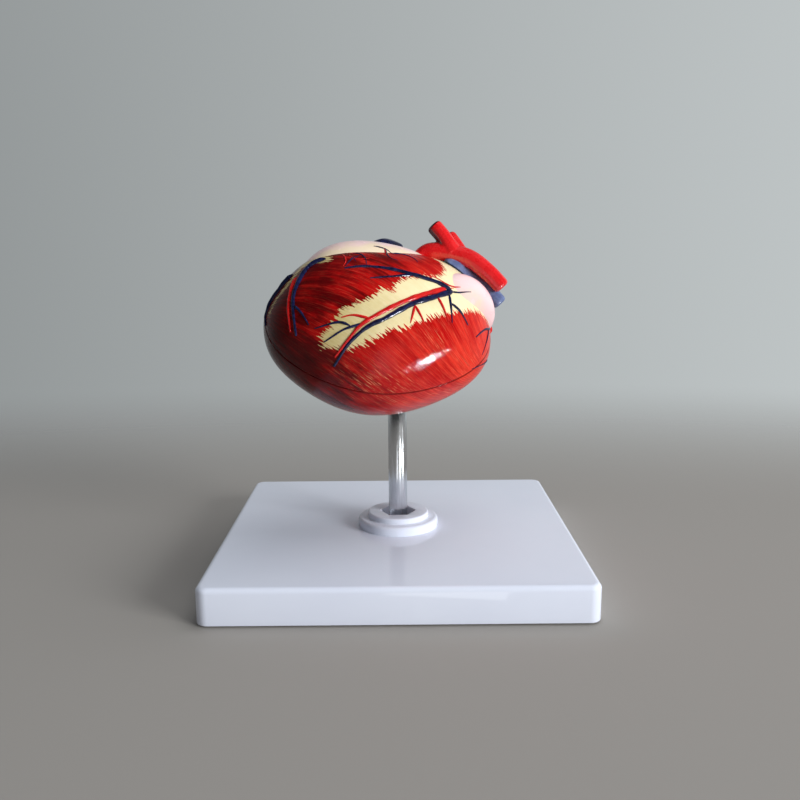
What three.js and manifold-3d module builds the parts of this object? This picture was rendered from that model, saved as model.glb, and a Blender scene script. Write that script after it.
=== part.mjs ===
// Animal heart model on a display stand, in millimetres, +Z up.
// The origin is the centre of the stand's underside, on the surface that the rubber feet stand on.
// X runs to the right, along the heart from its apex to its base, and Y runs away from the viewer.
// The heart is an egg-shaped casting that parts into a front half, which lifts off,
// and a back half, which sits on the post. Both open on the four chambers.

import * as THREE from 'three';
import { mergeVertices } from 'three/addons/utils/BufferGeometryUtils.js';
import Module from 'manifold-3d';

const wasm = await Module();
wasm.setup();

// Driving dimensions: fits
const slideFit = 0.3;          // play between glued or loosely fitted pieces
const runningFit = 0.08;       // radial play of the post in its bush and of the pegs in the front half
const seatFit = 0.02;          // flat faces that bear on each other

// Driving dimensions: base plate, a moulded tray
const plateWidth = 150;
const plateDepth = 145;
const plateHeight = 14.4;
const plateWall = 2.4;
const plateCornerRadius = 4.8;
const plateEdgeRadius = 2.4;
const ribThickness = 1.6;
const ribDrop = 7;             // how far the ribs hang below the ceiling of the tray
const footDiameter = 12;
const footThickness = 2.4;
const footChamfer = 0.5;
const footProud = 0.6;         // how far the feet stand below the skirt
const footInset = 14;          // from the plate's side to the foot's centre
const footBossWall = 2;

// Driving dimensions: collar, post, nuts and washer
const postDiameter = 8;
const postChamfer = 0.8;
const postTop = 75.5;
const nutAcrossFlats = 13;
const nutHeight = 4.2;
const nutChamferAngle = 30;
const washerDiameter = 17;
const washerThickness = 1.6;
const threadRunout = 1.2;      // bare thread below the lower nut
const collarFlangeRadius = 17.6;
const collarFlangeHeight = 4;
const collarDiscRadius = 13.4;
const collarHeight = 6.4;
const collarEdgeRadius = 1.4;
const nutSink = 0.7;           // how far the upper nut lies below the collar's top
const clampBossRadius = 12;
const clampBossDrop = 2.2;

// Driving dimensions: heart casting
const bodyLength = 98;
const bodyOffset = -7.7;       // from the post's axis to the egg's centre
const bodyRise = 24.4;         // from the post's top up to the egg's centre
const bodyPitch = 9.5;         // degrees that the base end hangs below the apex end
const bodyYaw = 8;             // degrees that the apex is swung towards the viewer
// Half sizes of the egg at five equal stations from apex to base, before its ends are rounded
const bodyTop = [26, 36.5, 36, 40.5, 38];
const bodyBottom = [39, 34.5, 35, 31, 30];
const bodyFront = [37, 35, 33.5, 31, 29];
const bodyBack = [37, 35, 33.5, 31, 29];
const bodyWall = 4;            // least wall round the chambers

// Driving dimensions: parting face of the two halves
const partingRise = 5.9;       // above the egg's centre, where it crosses the post's axis
const partingTilt = 47.7;      // degrees that it leans towards the viewer
const partingRoll = 9.5;       // degrees that it falls towards the base end
const partingGap = 0.3;

// Driving dimensions: socket for the post
const bushOuterDiameter = 12.4;
const bushCap = 1.6;           // thickness of its closed end, which rests on the post
const bushRecess = 1.6;        // from the casting's underside up to the bush

// Driving dimensions: valves inside the chambers
const valveRingReach = 14;
const valveRingWidth = 1.8;
const valveBore = 6;
const valveMouth = 4.2;
const valveLength = 8;
const valveWall = 0.9;
const tendonDiameter = 0.9;
const papillaryRadius = 1.8;   // at its tip
const papillaryFootRadius = 2.7;

// Driving dimensions: locating pegs of the parting face
const pegDiameter = 3.2;
const pegLength = 12;
const pegProud = 5;
const pegChamfer = 0.6;
const pegDepthPlay = 0.6;

// Driving dimensions: coronary vessels, moulded as half-round cords on the castings
const veinWidth = 2.7;
const veinHeight = 1.3;
const arteryWidth = 2.0;
const arteryHeight = 1.1;
const twigWidth = 1.3;
const twigHeight = 0.8;
const cordTaper = 0.55;        // width of a cord's far end as a share of its near end
const cordStep = 4;            // spacing of a cord's sections

// Driving dimensions: great vessels
const aortaDiameter = 8.2;
const brachiocephalicDiameter = 5.9;
const subclavianDiameter = 4.6;
const pulmonaryDiameter = 7;
const cavaDiameter = 9.5;
const pulmonaryVeinDiameter = 5;
const vesselRoot = 4;          // how deep a vessel's path starts inside the casting
const pulmonaryVeinReach = 15; // from the start of its path to its cut end

// Driving dimensions: auricles, lobes that follow the casting
const leftAuricleThickness = 4.6;
const rightAuricleThickness = 2.8;
const lobeSquareness = 2.4;    // exponent of the lobes' outline, 2 for an ellipse
const lobeRim = 0.4;           // thickness at the lobes' outline
const lobeLeastHalf = 12;      // smallest half size of a lobe, which sets its clearance all round

// Facets
const bodyRings = 24;
const bodySegments = 40;
const chamberRings = 10;
const chamberSegments = 18;
const roundSegments = 28;
const smallRoundSegments = 16;
const vesselSides = 10;
const vesselStep = 4.5;        // spacing of a vessel's sections
const lobeRings = 7;
const lobeSegments = 26;

// Finishes
const paint = {
  plate: { color: 0xdddfe8, roughness: 0.28, metalness: 0 },
  rubber: { color: 0x26262a, roughness: 0.8, metalness: 0 },
  chrome: { color: 0xc9ccd0, roughness: 0.12, metalness: 1 },
  zinc: { color: 0xb4b6b2, roughness: 0.35, metalness: 1 },
  nylon: { color: 0xe8e6dc, roughness: 0.5, metalness: 0 },
  muscle: { color: 0xb4201a, roughness: 0.25, metalness: 0 },
  auricle: { color: 0xf0c8cc, roughness: 0.3, metalness: 0 },
  artery: { color: 0xd81c1c, roughness: 0.22, metalness: 0 },
  vein: { color: 0x23284f, roughness: 0.25, metalness: 0 },
  pulmonary: { color: 0x5a6788, roughness: 0.25, metalness: 0 },
  valve: { color: 0xf3e6cf, roughness: 0.35, metalness: 0 },
};

const radians = THREE.MathUtils.degToRad;
const vector = (x, y, z) => new THREE.Vector3(x, y, z);

// Solids: closed meshes to manifold bodies and back
function solid(geometry) {
  const bare = geometry.clone();
  bare.deleteAttribute('normal');
  bare.deleteAttribute('uv');
  const merged = mergeVertices(bare, 1e-4);
  const corners = [];
  const index = merged.index.array;
  for (let i = 0; i < index.length; i += 3) {
    const [a, b, c] = [index[i], index[i + 1], index[i + 2]];
    if (a !== b && b !== c && c !== a) corners.push(a, b, c);
  }
  const mesh = new wasm.Mesh({
    numProp: 3,
    vertProperties: new Float32Array(merged.attributes.position.array),
    triVerts: new Uint32Array(corners),
  });
  return new wasm.Manifold(mesh);
}

function geometryOf(body) {
  const mesh = body.getMesh();
  const geometry = new THREE.BufferGeometry();
  geometry.setAttribute('position', new THREE.BufferAttribute(new Float32Array(mesh.vertProperties), 3));
  geometry.setIndex(new THREE.BufferAttribute(new Uint32Array(mesh.triVerts), 1));
  return geometry;
}

const joined = (bodies) => bodies.reduce((sum, body) => sum.add(body));
const largest = (body) => body.decompose().reduce((a, b) => (a.volume() > b.volume() ? a : b));
const without = (body, cutters) => cutters.reduce((rest, cutter) => rest.subtract(cutter), body);

function named(name, body, finish) {
  const mesh = new THREE.Mesh(geometryOf(body), new THREE.MeshStandardMaterial(paint[finish]));
  mesh.name = name;
  return mesh;
}

// Basic forms
function roundedRectangle(width, depth, radius) {
  const shape = new THREE.Shape();
  const x = width / 2;
  const y = depth / 2;
  shape.moveTo(-x + radius, -y);
  shape.lineTo(x - radius, -y);
  shape.absarc(x - radius, -y + radius, radius, -Math.PI / 2, 0);
  shape.lineTo(x, y - radius);
  shape.absarc(x - radius, y - radius, radius, 0, Math.PI / 2);
  shape.lineTo(-x + radius, y);
  shape.absarc(-x + radius, y - radius, radius, Math.PI / 2, Math.PI);
  shape.lineTo(-x, -y + radius);
  shape.absarc(-x + radius, -y + radius, radius, Math.PI, Math.PI * 1.5);
  return shape;
}

function prism(shape, bottom, top, curveSegments = 5) {
  const depth = top - bottom;
  const geometry = new THREE.ExtrudeGeometry(shape, { depth, bevelEnabled: false, curveSegments });
  return solid(geometry.translate(0, 0, bottom));
}

function cylinder(radius, bottom, top, segments = roundSegments) {
  const geometry = new THREE.CylinderGeometry(radius, radius, top - bottom, segments);
  return solid(geometry.rotateX(Math.PI / 2).translate(0, 0, (top + bottom) / 2));
}

function hexagon(acrossFlats, bottom, top) {
  const cornerRadius = acrossFlats / Math.sqrt(3);
  const geometry = new THREE.CylinderGeometry(cornerRadius, cornerRadius, top - bottom, 6);
  geometry.rotateY(Math.PI / 6).rotateX(Math.PI / 2).rotateZ(Math.PI / 2);
  return solid(geometry.translate(0, 0, (top + bottom) / 2));
}

function revolved(profile, segments = roundSegments) {
  const points = profile.map(([radius, height]) => new THREE.Vector2(radius, height));
  return solid(new THREE.LatheGeometry(points, segments).rotateX(Math.PI / 2));
}

// Quarter round of a revolved profile, from its flat top outwards and down
function roundedShoulder(radius, top, round, steps = 4) {
  return Array.from({ length: steps + 1 }, (_, i) => {
    const angle = (Math.PI / 2) * (i / steps);
    return [radius - round + round * Math.sin(angle), top - round + round * Math.cos(angle)];
  });
}

// Levels of the stand
const plateTop = footProud + plateHeight;
const ceiling = plateTop - plateWall;
const clampFace = ceiling - clampBossDrop;
const washerTop = clampFace - seatFit;
const lowerNutTop = washerTop - washerThickness - seatFit;
const postBottom = lowerNutTop - nutHeight - threadRunout;
const collarBottom = plateTop + seatFit;
const collarTop = collarBottom + collarHeight;
const upperNutTop = collarTop - nutSink;
const upperNutBottom = upperNutTop - nutHeight;
const postHole = postDiameter / 2 + slideFit;
const footCentres = [[-1, -1], [1, -1], [1, 1], [-1, 1]].map(([x, y]) => [
  x * (plateWidth / 2 - footInset),
  y * (plateDepth / 2 - footInset),
]);

// Base plate: a tray with a rounded top edge, a clamp boss, foot bosses and a cross of ribs
function basePlate() {
  const outline = roundedRectangle(
    plateWidth - 2 * plateEdgeRadius,
    plateDepth - 2 * plateEdgeRadius,
    plateCornerRadius - plateEdgeRadius,
  );
  const block = new THREE.ExtrudeGeometry(outline, {
    depth: plateHeight - plateEdgeRadius,
    bevelThickness: plateEdgeRadius,
    bevelSize: plateEdgeRadius,
    bevelSegments: 3,
    curveSegments: 4,
  });
  const sunk = 2 * plateEdgeRadius;
  const below = prism(roundedRectangle(2 * plateWidth, 2 * plateDepth, 1), footProud - sunk, footProud);
  const outer = solid(block.translate(0, 0, footProud)).subtract(below);
  const room = prism(
    roundedRectangle(plateWidth - 2 * plateWall, plateDepth - 2 * plateWall, plateCornerRadius - plateWall),
    footProud - 1,
    ceiling,
  );
  const root = ceiling + plateWall / 2;
  const bossRadius = footDiameter / 2 + footBossWall;
  const boss = cylinder(bossRadius, footThickness + seatFit, root, smallRoundSegments);
  const bosses = footCentres.map(([x, y]) => boss.translate([x, y, 0]));
  const clamp = cylinder(clampBossRadius, clampFace, root);
  const ribs = [0, 90, 180, 270].map((turn) => {
    const start = clampBossRadius - 1;
    const end = (turn % 180 === 0 ? plateWidth : plateDepth) / 2 - plateWall / 2;
    const outlineOfRib = roundedRectangle(end - start, ribThickness, ribThickness / 4);
    const rib = prism(outlineOfRib, ceiling - ribDrop, root, 1);
    return rib.translate([(start + end) / 2, 0, 0]).rotate([0, 0, turn]);
  });
  const tray = joined([outer.subtract(room), clamp, ...bosses, ...ribs]);
  return tray.subtract(cylinder(postHole, 0, plateTop + 1));
}

// Collar: a two-step flange that holds the upper nut in a hexagonal pocket
function postCollar() {
  const flange = collarBottom + collarFlangeHeight;
  const turned = revolved([
    [0, collarBottom],
    [collarFlangeRadius, collarBottom],
    ...roundedShoulder(collarFlangeRadius, flange, collarEdgeRadius).reverse(),
    ...roundedShoulder(collarDiscRadius, collarTop, collarEdgeRadius / 2, 3).reverse(),
    [0, collarTop],
  ]);
  const pocket = hexagon(nutAcrossFlats + 2 * slideFit, upperNutBottom - seatFit, collarTop + 1);
  return without(turned, [pocket, cylinder(postHole, 0, collarTop + 1)]);
}

function hexNut(bottom) {
  const top = bottom + nutHeight;
  const corner = nutAcrossFlats / Math.sqrt(3);
  const chamfer = corner - nutAcrossFlats / 2;
  const crown = revolved([
    [0, bottom],
    [corner, bottom],
    [corner, top - chamfer * Math.tan(radians(nutChamferAngle))],
    [corner - chamfer, top],
    [0, top],
  ]);
  const bore = cylinder(postHole, bottom - 1, top + 1);
  return hexagon(nutAcrossFlats, bottom, top).intersect(crown).subtract(bore);
}

function postRod() {
  const radius = postDiameter / 2;
  return revolved([
    [0, postBottom],
    [radius - postChamfer, postBottom],
    [radius, postBottom + postChamfer],
    [radius, postTop - postChamfer],
    [radius - postChamfer, postTop],
    [0, postTop],
  ]);
}

const stand = new THREE.Group();
stand.add(named('base_plate', basePlate(), 'plate'));
stand.add(named('post_collar', postCollar(), 'plate'));
stand.add(named('post', postRod(), 'chrome'));
stand.add(named('upper_nut', hexNut(upperNutBottom), 'zinc'));
stand.add(named('lower_nut', hexNut(lowerNutTop - nutHeight), 'zinc'));
const washer = cylinder(washerDiameter / 2, washerTop - washerThickness, washerTop);
stand.add(named('clamp_washer', washer.subtract(cylinder(postHole, 0, plateTop)), 'zinc'));
footCentres.forEach(([x, y], i) => {
  const foot = revolved([
    [0, 0],
    [footDiameter / 2 - footChamfer, 0],
    [footDiameter / 2, footChamfer],
    [footDiameter / 2, footThickness],
    [0, footThickness],
  ], smallRoundSegments);
  stand.add(named(`rubber_foot_${i + 1}`, foot.translate([x, y, 0]), 'rubber'));
});

// Frames: the heart's own frame has its XY plane in the parting face and its origin on the post's axis
const bodyCentre = vector(bodyOffset, 0, postTop + bodyRise);
const partingHeight = bodyCentre.z + partingRise;
const heart = new THREE.Group();
heart.position.set(0, 0, partingHeight);
heart.rotation.set(radians(partingTilt), radians(partingRoll), 0, 'XYZ');
heart.updateMatrix();
const standToHeart = heart.matrix.clone().invert();
const bodyTurn = new THREE.Euler(0, radians(bodyPitch), radians(bodyYaw), 'ZYX');
const bodyToStand = new THREE.Matrix4().makeRotationFromEuler(bodyTurn).setPosition(bodyCentre);
const bodyToHeart = standToHeart.clone().multiply(bodyToStand);

const inHeart = (body) => body.transform(standToHeart.toArray());

// Surface of the egg: s runs from the apex (0) to the base (1), and the angle turns round it,
// from 0 at the back over 90 at the top and 180 at the front to 270 at the bottom
const profile = (sizes) => new THREE.SplineCurve(sizes.map((size) => new THREE.Vector2(0, size)));
const topProfile = profile(bodyTop);
const bottomProfile = profile(bodyBottom);
const frontProfile = profile(bodyFront);
const backProfile = profile(bodyBack);

function onBody(s, degrees, grow = 0) {
  const angle = radians(degrees);
  const fullness = Math.sin(Math.PI * s);
  const height = (Math.sin(angle) > 0 ? topProfile : bottomProfile).getPoint(s).y + grow;
  const depth = (Math.cos(angle) > 0 ? backProfile : frontProfile).getPoint(s).y + grow;
  return vector(
    -(bodyLength / 2 + grow) * Math.cos(Math.PI * s),
    depth * fullness * Math.cos(angle),
    height * fullness * Math.sin(angle),
  ).applyMatrix4(bodyToHeart);
}

function bodyNormal(s, degrees) {
  const along = onBody(s + 0.004, degrees).sub(onBody(s - 0.004, degrees));
  const round = onBody(s, degrees + 1).sub(onBody(s, degrees - 1));
  return round.cross(along).normalize();
}

// Closed loft through rings of points, with a single point or a flat fan at each end
function loft(rings, startPoint = null, endPoint = null) {
  const sides = rings[0].length;
  const points = rings.flat();
  const corners = [];
  for (let ring = 0; ring + 1 < rings.length; ring += 1) {
    for (let i = 0; i < sides; i += 1) {
      const j = (i + 1) % sides;
      const [a, b] = [ring * sides + i, ring * sides + j];
      corners.push(a, b, b + sides, a, b + sides, a + sides);
    }
  }
  const closeEnd = (ring, point, flip) => {
    const first = ring * sides;
    if (point) points.push(point);
    const tip = points.length - 1;
    for (let i = 0; i < sides; i += 1) {
      const [a, b] = [first + i, first + ((i + 1) % sides)];
      if (point) corners.push(...(flip ? [a, tip, b] : [b, tip, a]));
      else if (i > 0 && i + 1 < sides) corners.push(...(flip ? [first, b, a] : [first, a, b]));
    }
  };
  closeEnd(0, startPoint, true);
  closeEnd(rings.length - 1, endPoint, false);
  const geometry = new THREE.BufferGeometry().setFromPoints(points);
  geometry.setIndex(corners);
  const body = solid(geometry);
  return body.volume() < 0 ? solid(flipped(geometry)) : body;
}

function flipped(geometry) {
  const turned = geometry.clone();
  turned.setIndex(Array.from(geometry.index.array).reverse());
  return turned;
}

function bodyLoft(grow = 0) {
  const rings = Array.from({ length: bodyRings - 1 }, (_, ring) => {
    const s = (ring + 1) / bodyRings;
    return Array.from({ length: bodySegments }, (__, i) => onBody(s, (360 * i) / bodySegments, grow));
  });
  return loft(rings, onBody(0, 0, grow), onBody(1, 0, grow));
}

// Chambers: eggs that are open on the parting face, and run into each other at the valve rings
// Each has its centre in the parting face, its half sizes and its turn in that face
const chambers = {
  leftVentricle: { centre: [-13, -19], half: [30, 12.5, 14], turn: 8 },
  rightVentricle: { centre: [-8, 12], half: [26, 11, 13], turn: -6 },
  leftAtrium: { centre: [20, -15.5], half: [11.5, 11, 12], turn: 0 },
  rightAtrium: { centre: [20, 9.5], half: [11.5, 10, 12], turn: 0 },
};

function chamber({ centre, half, turn }, shrink) {
  const egg = new THREE.SphereGeometry(1, chamberSegments, chamberRings);
  egg.rotateZ(Math.PI / 2).scale(...half.map((size) => size - shrink));
  return solid(egg.rotateZ(radians(turn)).translate(centre[0], centre[1], 0));
}

function chamberRoom(shrink = 0) {
  const eggs = Object.values(chambers).map((shape) => chamber(shape, shrink));
  return joined(eggs).intersect(bodyLoft(-bodyWall - shrink));
}

// Halves: the egg cut by the parting face, less the chambers, the socket and the peg holes
const pegPlaces = [[-45, -5], [6, 27], [34.5, -3.5]];
const pegBottom = pegProud - pegLength;
const undersideHeight = bodyBottomAtPost();
const bushBottom = undersideHeight + bushRecess;
const bushBoreTop = postTop + seatFit;
const bushTop = bushBoreTop + bushCap;
const chamberSpace = chamberRoom();
const muscleSkin = bodyLoft(slideFit);

// Everything on one side of the parting face, and the gap beside it
function beyondParting(side, gap) {
  const reach = 4 * bodyLength;
  const box = new THREE.BoxGeometry(reach, reach, reach);
  return solid(box.translate(0, 0, side * (reach / 2 + gap)));
}

// Height of the egg's underside where the post enters it
function bodyBottomAtPost() {
  const probe = inHeart(cylinder(0.5, 0, partingHeight, 6)).subtract(bodyLoft());
  return probe.transform(heart.matrix.toArray()).boundingBox().max[2];
}

function pegHole([x, y], bottom, top, play) {
  return cylinder(pegDiameter / 2 + play, bottom, top, smallRoundSegments).translate([x, y, 0]);
}

function backHalf() {
  const socket = inHeart(cylinder(bushOuterDiameter / 2 + slideFit, 0, bushTop + slideFit));
  const holes = pegPlaces.map((place) => pegHole(place, pegBottom - seatFit, 1, slideFit));
  return without(bodyLoft(), [beyondParting(1, 0), chamberSpace, socket, ...holes]);
}

function frontHalf() {
  const holes = pegPlaces.map((place) => pegHole(place, -1, pegProud + pegDepthPlay, runningFit));
  return without(bodyLoft(), [beyondParting(-1, -partingGap), chamberSpace, ...holes]);
}

function locatingPeg([x, y]) {
  const radius = pegDiameter / 2;
  const peg = revolved([
    [0, pegBottom],
    [radius, pegBottom],
    [radius, pegProud - pegChamfer],
    [radius - pegChamfer, pegProud],
    [0, pegProud],
  ], smallRoundSegments);
  return peg.translate([x, y, 0]);
}

// Socket bush: closed at its top, it takes the post's end and lets the heart turn and lift off
function socketBush() {
  const sleeve = cylinder(bushOuterDiameter / 2, bushBottom, bushTop);
  const bore = cylinder(postDiameter / 2 + runningFit, bushBottom - 1, bushBoreTop);
  return inHeart(sleeve.subtract(bore));
}

heart.add(named('back_half', backHalf(), 'muscle'));
heart.add(named('front_half', frontHalf(), 'muscle'));
heart.add(named('post_socket', socketBush(), 'nylon'));
pegPlaces.forEach((place, i) => heart.add(named(`locating_peg_${i + 1}`, locatingPeg(place), 'zinc')));

// Round bar or tapered horn between two points
function horn(start, end, startRadius, endRadius, sides = 8) {
  const axis = end.clone().sub(start);
  const bar = new THREE.CylinderGeometry(endRadius, startRadius, axis.length(), sides);
  const turn = new THREE.Quaternion().setFromUnitVectors(vector(0, 1, 0), axis.clone().normalize());
  bar.applyQuaternion(turn);
  const middle = start.clone().add(end).divideScalar(2);
  return solid(bar.translate(middle.x, middle.y, middle.z));
}

// Valves between atrium and ventricle: a ring seated in the neck, a funnel of leaflets,
// and in the back half the tendon cords that tie the leaflets to two papillary muscles
const valves = {
  mitral: { neck: [11, -16.5], chamber: 'leftVentricle' },
  tricuspid: { neck: [11, 10], chamber: 'rightVentricle' },
};

function valve({ neck: [x, y], chamber: home }, side) {
  const along = (radiusNear, radiusFar, from, to) => (
    horn(vector(from, y, 0), vector(to, y, 0), radiusNear, radiusFar, smallRoundSegments)
  );
  const ring = along(valveRingReach, valveRingReach, x, x + valveRingWidth)
    .subtract(along(valveBore, valveBore, x - 1, x + valveRingWidth + 1));
  const funnel = along(valveMouth + valveWall, valveBore + valveWall, x - valveLength, x + valveRingWidth)
    .subtract(along(valveMouth, valveBore, x - valveLength - 0.01, x + valveRingWidth + 0.01));
  const parts = [ring, funnel];
  if (side < 0) parts.push(...tendons(x - valveLength, y, chambers[home]));
  const room = chamberRoom(slideFit).subtract(beyondParting(-side, -partingGap));
  return joined(parts).intersect(room);
}

// Foot and tip of a papillary muscle: along X from the chamber's centre in mm,
// then across and down as shares of its half sizes
const papillaryFoot = [-2, 0.5, -0.9];
const papillaryTip = [6, 0.42, -0.45];
const tendonLeans = [-65, -35, -8];

function tendons(mouthX, y, { centre, half }) {
  const rim = valveMouth + valveWall / 2;
  return [-1, 1].flatMap((across) => {
    const [foot, tip] = [papillaryFoot, papillaryTip].map(([along, share, depth]) => (
      vector(centre[0] + along, centre[1] + across * half[1] * share, half[2] * depth)
    ));
    const strings = tendonLeans.map((lean) => {
      const angle = radians(lean);
      const hold = vector(mouthX + valveWall, y + across * rim * Math.cos(angle), rim * Math.sin(angle));
      return horn(tip.clone().lerp(foot, 0.1), hold, tendonDiameter / 2, tendonDiameter / 2, 4);
    });
    return [horn(foot, tip, papillaryFootRadius, papillaryRadius), ...strings];
  });
}

Object.entries(valves).forEach(([name, shape]) => {
  heart.add(named(`${name}_valve_back`, valve(shape, -1), 'valve'));
  heart.add(named(`${name}_valve_front`, valve(shape, 1), 'valve'));
});

// Coronary vessels: half-round cords that follow the casting, each from a route of [s, angle]
function cordBody(route, width, height, grow) {
  const line = new THREE.SplineCurve(route.map(([s, angle]) => new THREE.Vector2(s, angle)));
  const place = (t) => {
    const { x: s, y: angle } = line.getPoint(t);
    return { point: onBody(s, angle, slideFit - grow), normal: bodyNormal(s, angle) };
  };
  const span = route.slice(1).reduce((sum, [s, angle], i) => (
    sum + onBody(s, angle).distanceTo(onBody(...route[i]))
  ), 0);
  const steps = Math.max(3, Math.round(span / cordStep));
  const rings = Array.from({ length: steps + 1 }, (_, step) => {
    const t = step / steps;
    const { point, normal } = place(t);
    const ahead = place(Math.min(t + 0.01, 1)).point.sub(place(Math.max(t - 0.01, 0)).point);
    const side = ahead.cross(normal).normalize();
    const taper = 1 - (1 - cordTaper) * t;
    return [0, 45, 90, 135, 180].map((degrees) => {
      const across = side.clone().multiplyScalar((width * taper / 2 + grow) * Math.cos(radians(degrees)));
      const up = normal.clone().multiplyScalar((height * taper + 2 * grow) * Math.sin(radians(degrees)));
      return point.clone().add(across).add(up);
    });
  });
  return loft(rings);
}

const cordKinds = {
  vein: { width: veinWidth, height: veinHeight, finish: 'vein' },
  artery: { width: arteryWidth, height: arteryHeight, finish: 'artery' },
  veinTwig: { width: twigWidth, height: twigHeight, finish: 'vein' },
  arteryTwig: { width: twigWidth, height: twigHeight, finish: 'artery' },
};

// The first route of a cord is its trunk; a cord keeps clear of the ones that it names in clears
const cords = {
  great_cardiac_vein: {
    kind: 'vein',
    routes: [[[0.69, 134.5], [0.65, 140.5], [0.55, 153.5], [0.46, 168], [0.41, 181.5], [0.37, 203]]],
    twigs: [[[0.655, 140], [0.664, 150], [0.673, 161]], [[0.662, 147], [0.7, 151], [0.735, 159]]],
  },
  paraconal_artery: {
    kind: 'artery',
    routes: [[[0.615, 140], [0.573, 146.3], [0.51, 155], [0.43, 169.5], [0.395, 182], [0.368, 196]]],
    twigs: [[[0.445, 166.5], [0.4, 165.5], [0.369, 168]]],
    clears: ['great_cardiac_vein'],
  },
  apical_vein_branch: {
    kind: 'veinTwig',
    routes: [[[0.413, 171.5], [0.378, 176], [0.331, 187]]],
    twigs: [[[0.395, 172.5], [0.36, 171.5], [0.299, 178]]],
    clears: ['great_cardiac_vein', 'paraconal_artery'],
  },
  septal_artery_branches: {
    kind: 'arteryTwig',
    routes: [[[0.5515, 157.5], [0.549, 166]], [[0.5515, 157.5], [0.585, 163.5]]],
    clears: ['great_cardiac_vein'],
  },
  diagonal_artery_branch: {
    kind: 'arteryTwig',
    routes: [[[0.618, 147.5], [0.64, 152.5], [0.66, 161]]],
    clears: ['great_cardiac_vein'],
  },
  conus_vein: {
    kind: 'vein',
    routes: [[[0.66, 134.8], [0.62, 133.6], [0.57, 131.8], [0.5, 128.5], [0.43, 127.5], [0.365, 129.5]]],
    twigs: [[[0.55, 130.8], [0.49, 134.8], [0.434, 138]]],
    clears: ['great_cardiac_vein', 'paraconal_artery'],
  },
  conus_artery: {
    kind: 'arteryTwig',
    routes: [[[0.685, 128.5], [0.65, 127.2], [0.612, 126]]],
    clears: ['great_cardiac_vein', 'paraconal_artery', 'conus_vein'],
  },
  marginal_vein: {
    kind: 'vein',
    routes: [[[0.31, 116], [0.255, 116], [0.215, 141], [0.217, 163], [0.241, 188]]],
    twigs: [[[0.215, 158], [0.248, 166.5], [0.278, 176]]],
  },
  marginal_artery: {
    kind: 'artery',
    routes: [[[0.212, 121], [0.196, 143], [0.199, 165], [0.218, 186]]],
    clears: ['marginal_vein'],
  },
  apex_vein: {
    kind: 'vein',
    routes: [[[0.2, 106], [0.14, 112], [0.085, 124], [0.05, 165], [0.07, 198]]],
    clears: ['marginal_artery'],
  },
  obtuse_vein_branches: {
    kind: 'veinTwig',
    routes: [[[0.88, 138], [0.834, 151.3], [0.78, 166]]],
    twigs: [[[0.868, 145], [0.858, 163.7], [0.837, 184]]],
  },
  middle_cardiac_vein: {
    kind: 'vein',
    routes: [[[0.72, 338], [0.6, 326], [0.45, 317], [0.3, 306], [0.2, 290]]],
    twigs: [[[0.5, 320.5], [0.44, 302], [0.36, 290]]],
  },
  subsinuosal_artery: {
    kind: 'artery',
    routes: [[[0.7, 329], [0.6, 320], [0.45, 311], [0.31, 299], [0.2, 279]]],
    clears: ['middle_cardiac_vein'],
  },
  coronary_sinus: {
    kind: 'vein',
    routes: [[[0.735, 352], [0.755, 320], [0.76, 285], [0.765, 258]]],
    clears: ['middle_cardiac_vein', 'subsinuosal_artery'],
  },
};

function cordSolid({ kind, routes, twigs = [] }, grow) {
  const { width, height } = cordKinds[kind];
  return joined([
    ...routes.map((route) => cordBody(route, width, height, grow)),
    ...twigs.map((route) => cordBody(route, twigWidth, twigHeight, grow)),
  ]);
}

// Auricles: lens-shaped lobes laid over the casting round a centre [s, angle]
const auricles = {
  left: { centre: [0.783, 118], half: [0.122, 24], lean: 2, thickness: leftAuricleThickness },
  right: { centre: [0.42, 87], half: [0.185, 28], lean: -6, thickness: rightAuricleThickness },
};

function lobe({ centre, half, lean, thickness }, grow = 0) {
  const ringAt = (reach, height) => Array.from({ length: lobeSegments }, (_, i) => {
    const turn = (2 * Math.PI * i) / lobeSegments;
    const [across, up] = [Math.cos(turn), Math.sin(turn)].map((share) => (
      Math.sign(share) * Math.abs(share) ** (2 / lobeSquareness)
    ));
    const spread = 1 + grow / lobeLeastHalf;
    const angle = centre[1] + (half[1] * up + lean * across) * reach * spread;
    return onBody(centre[0] + half[0] * reach * across * spread, angle, height);
  });
  const dome = Array.from({ length: lobeRings }, (_, ring) => {
    const turn = (Math.PI / 2) * ((ring + 1) / lobeRings);
    const height = slideFit + grow + (thickness - slideFit) * Math.cos(turn) + lobeRim;
    return ringAt(Math.sin(turn), height);
  });
  const seat = [1, 0.66, 0.33].map((reach) => ringAt(reach, slideFit - grow));
  const crown = onBody(...centre, thickness + grow + lobeRim);
  return loft([...dome, ...seat], crown, onBody(...centre, slideFit - grow));
}

// Great vessels: round bars along smooth paths, cut to the casting and to what they pass
function vesselBar(points, diameter) {
  const path = new THREE.CatmullRomCurve3(points);
  const circle = new THREE.Shape().absarc(0, 0, diameter / 2, 0, Math.PI * 2);
  const geometry = new THREE.ExtrudeGeometry(circle, {
    steps: Math.max(3, Math.round(path.getLength() / vesselStep)),
    extrudePath: path,
    curveSegments: vesselSides / 2,
    bevelEnabled: false,
  });
  return solid(geometry);
}

// Each path runs through points of [s, angle, height over the casting]
const overBody = (points) => points.map((place) => onBody(...place));

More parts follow.
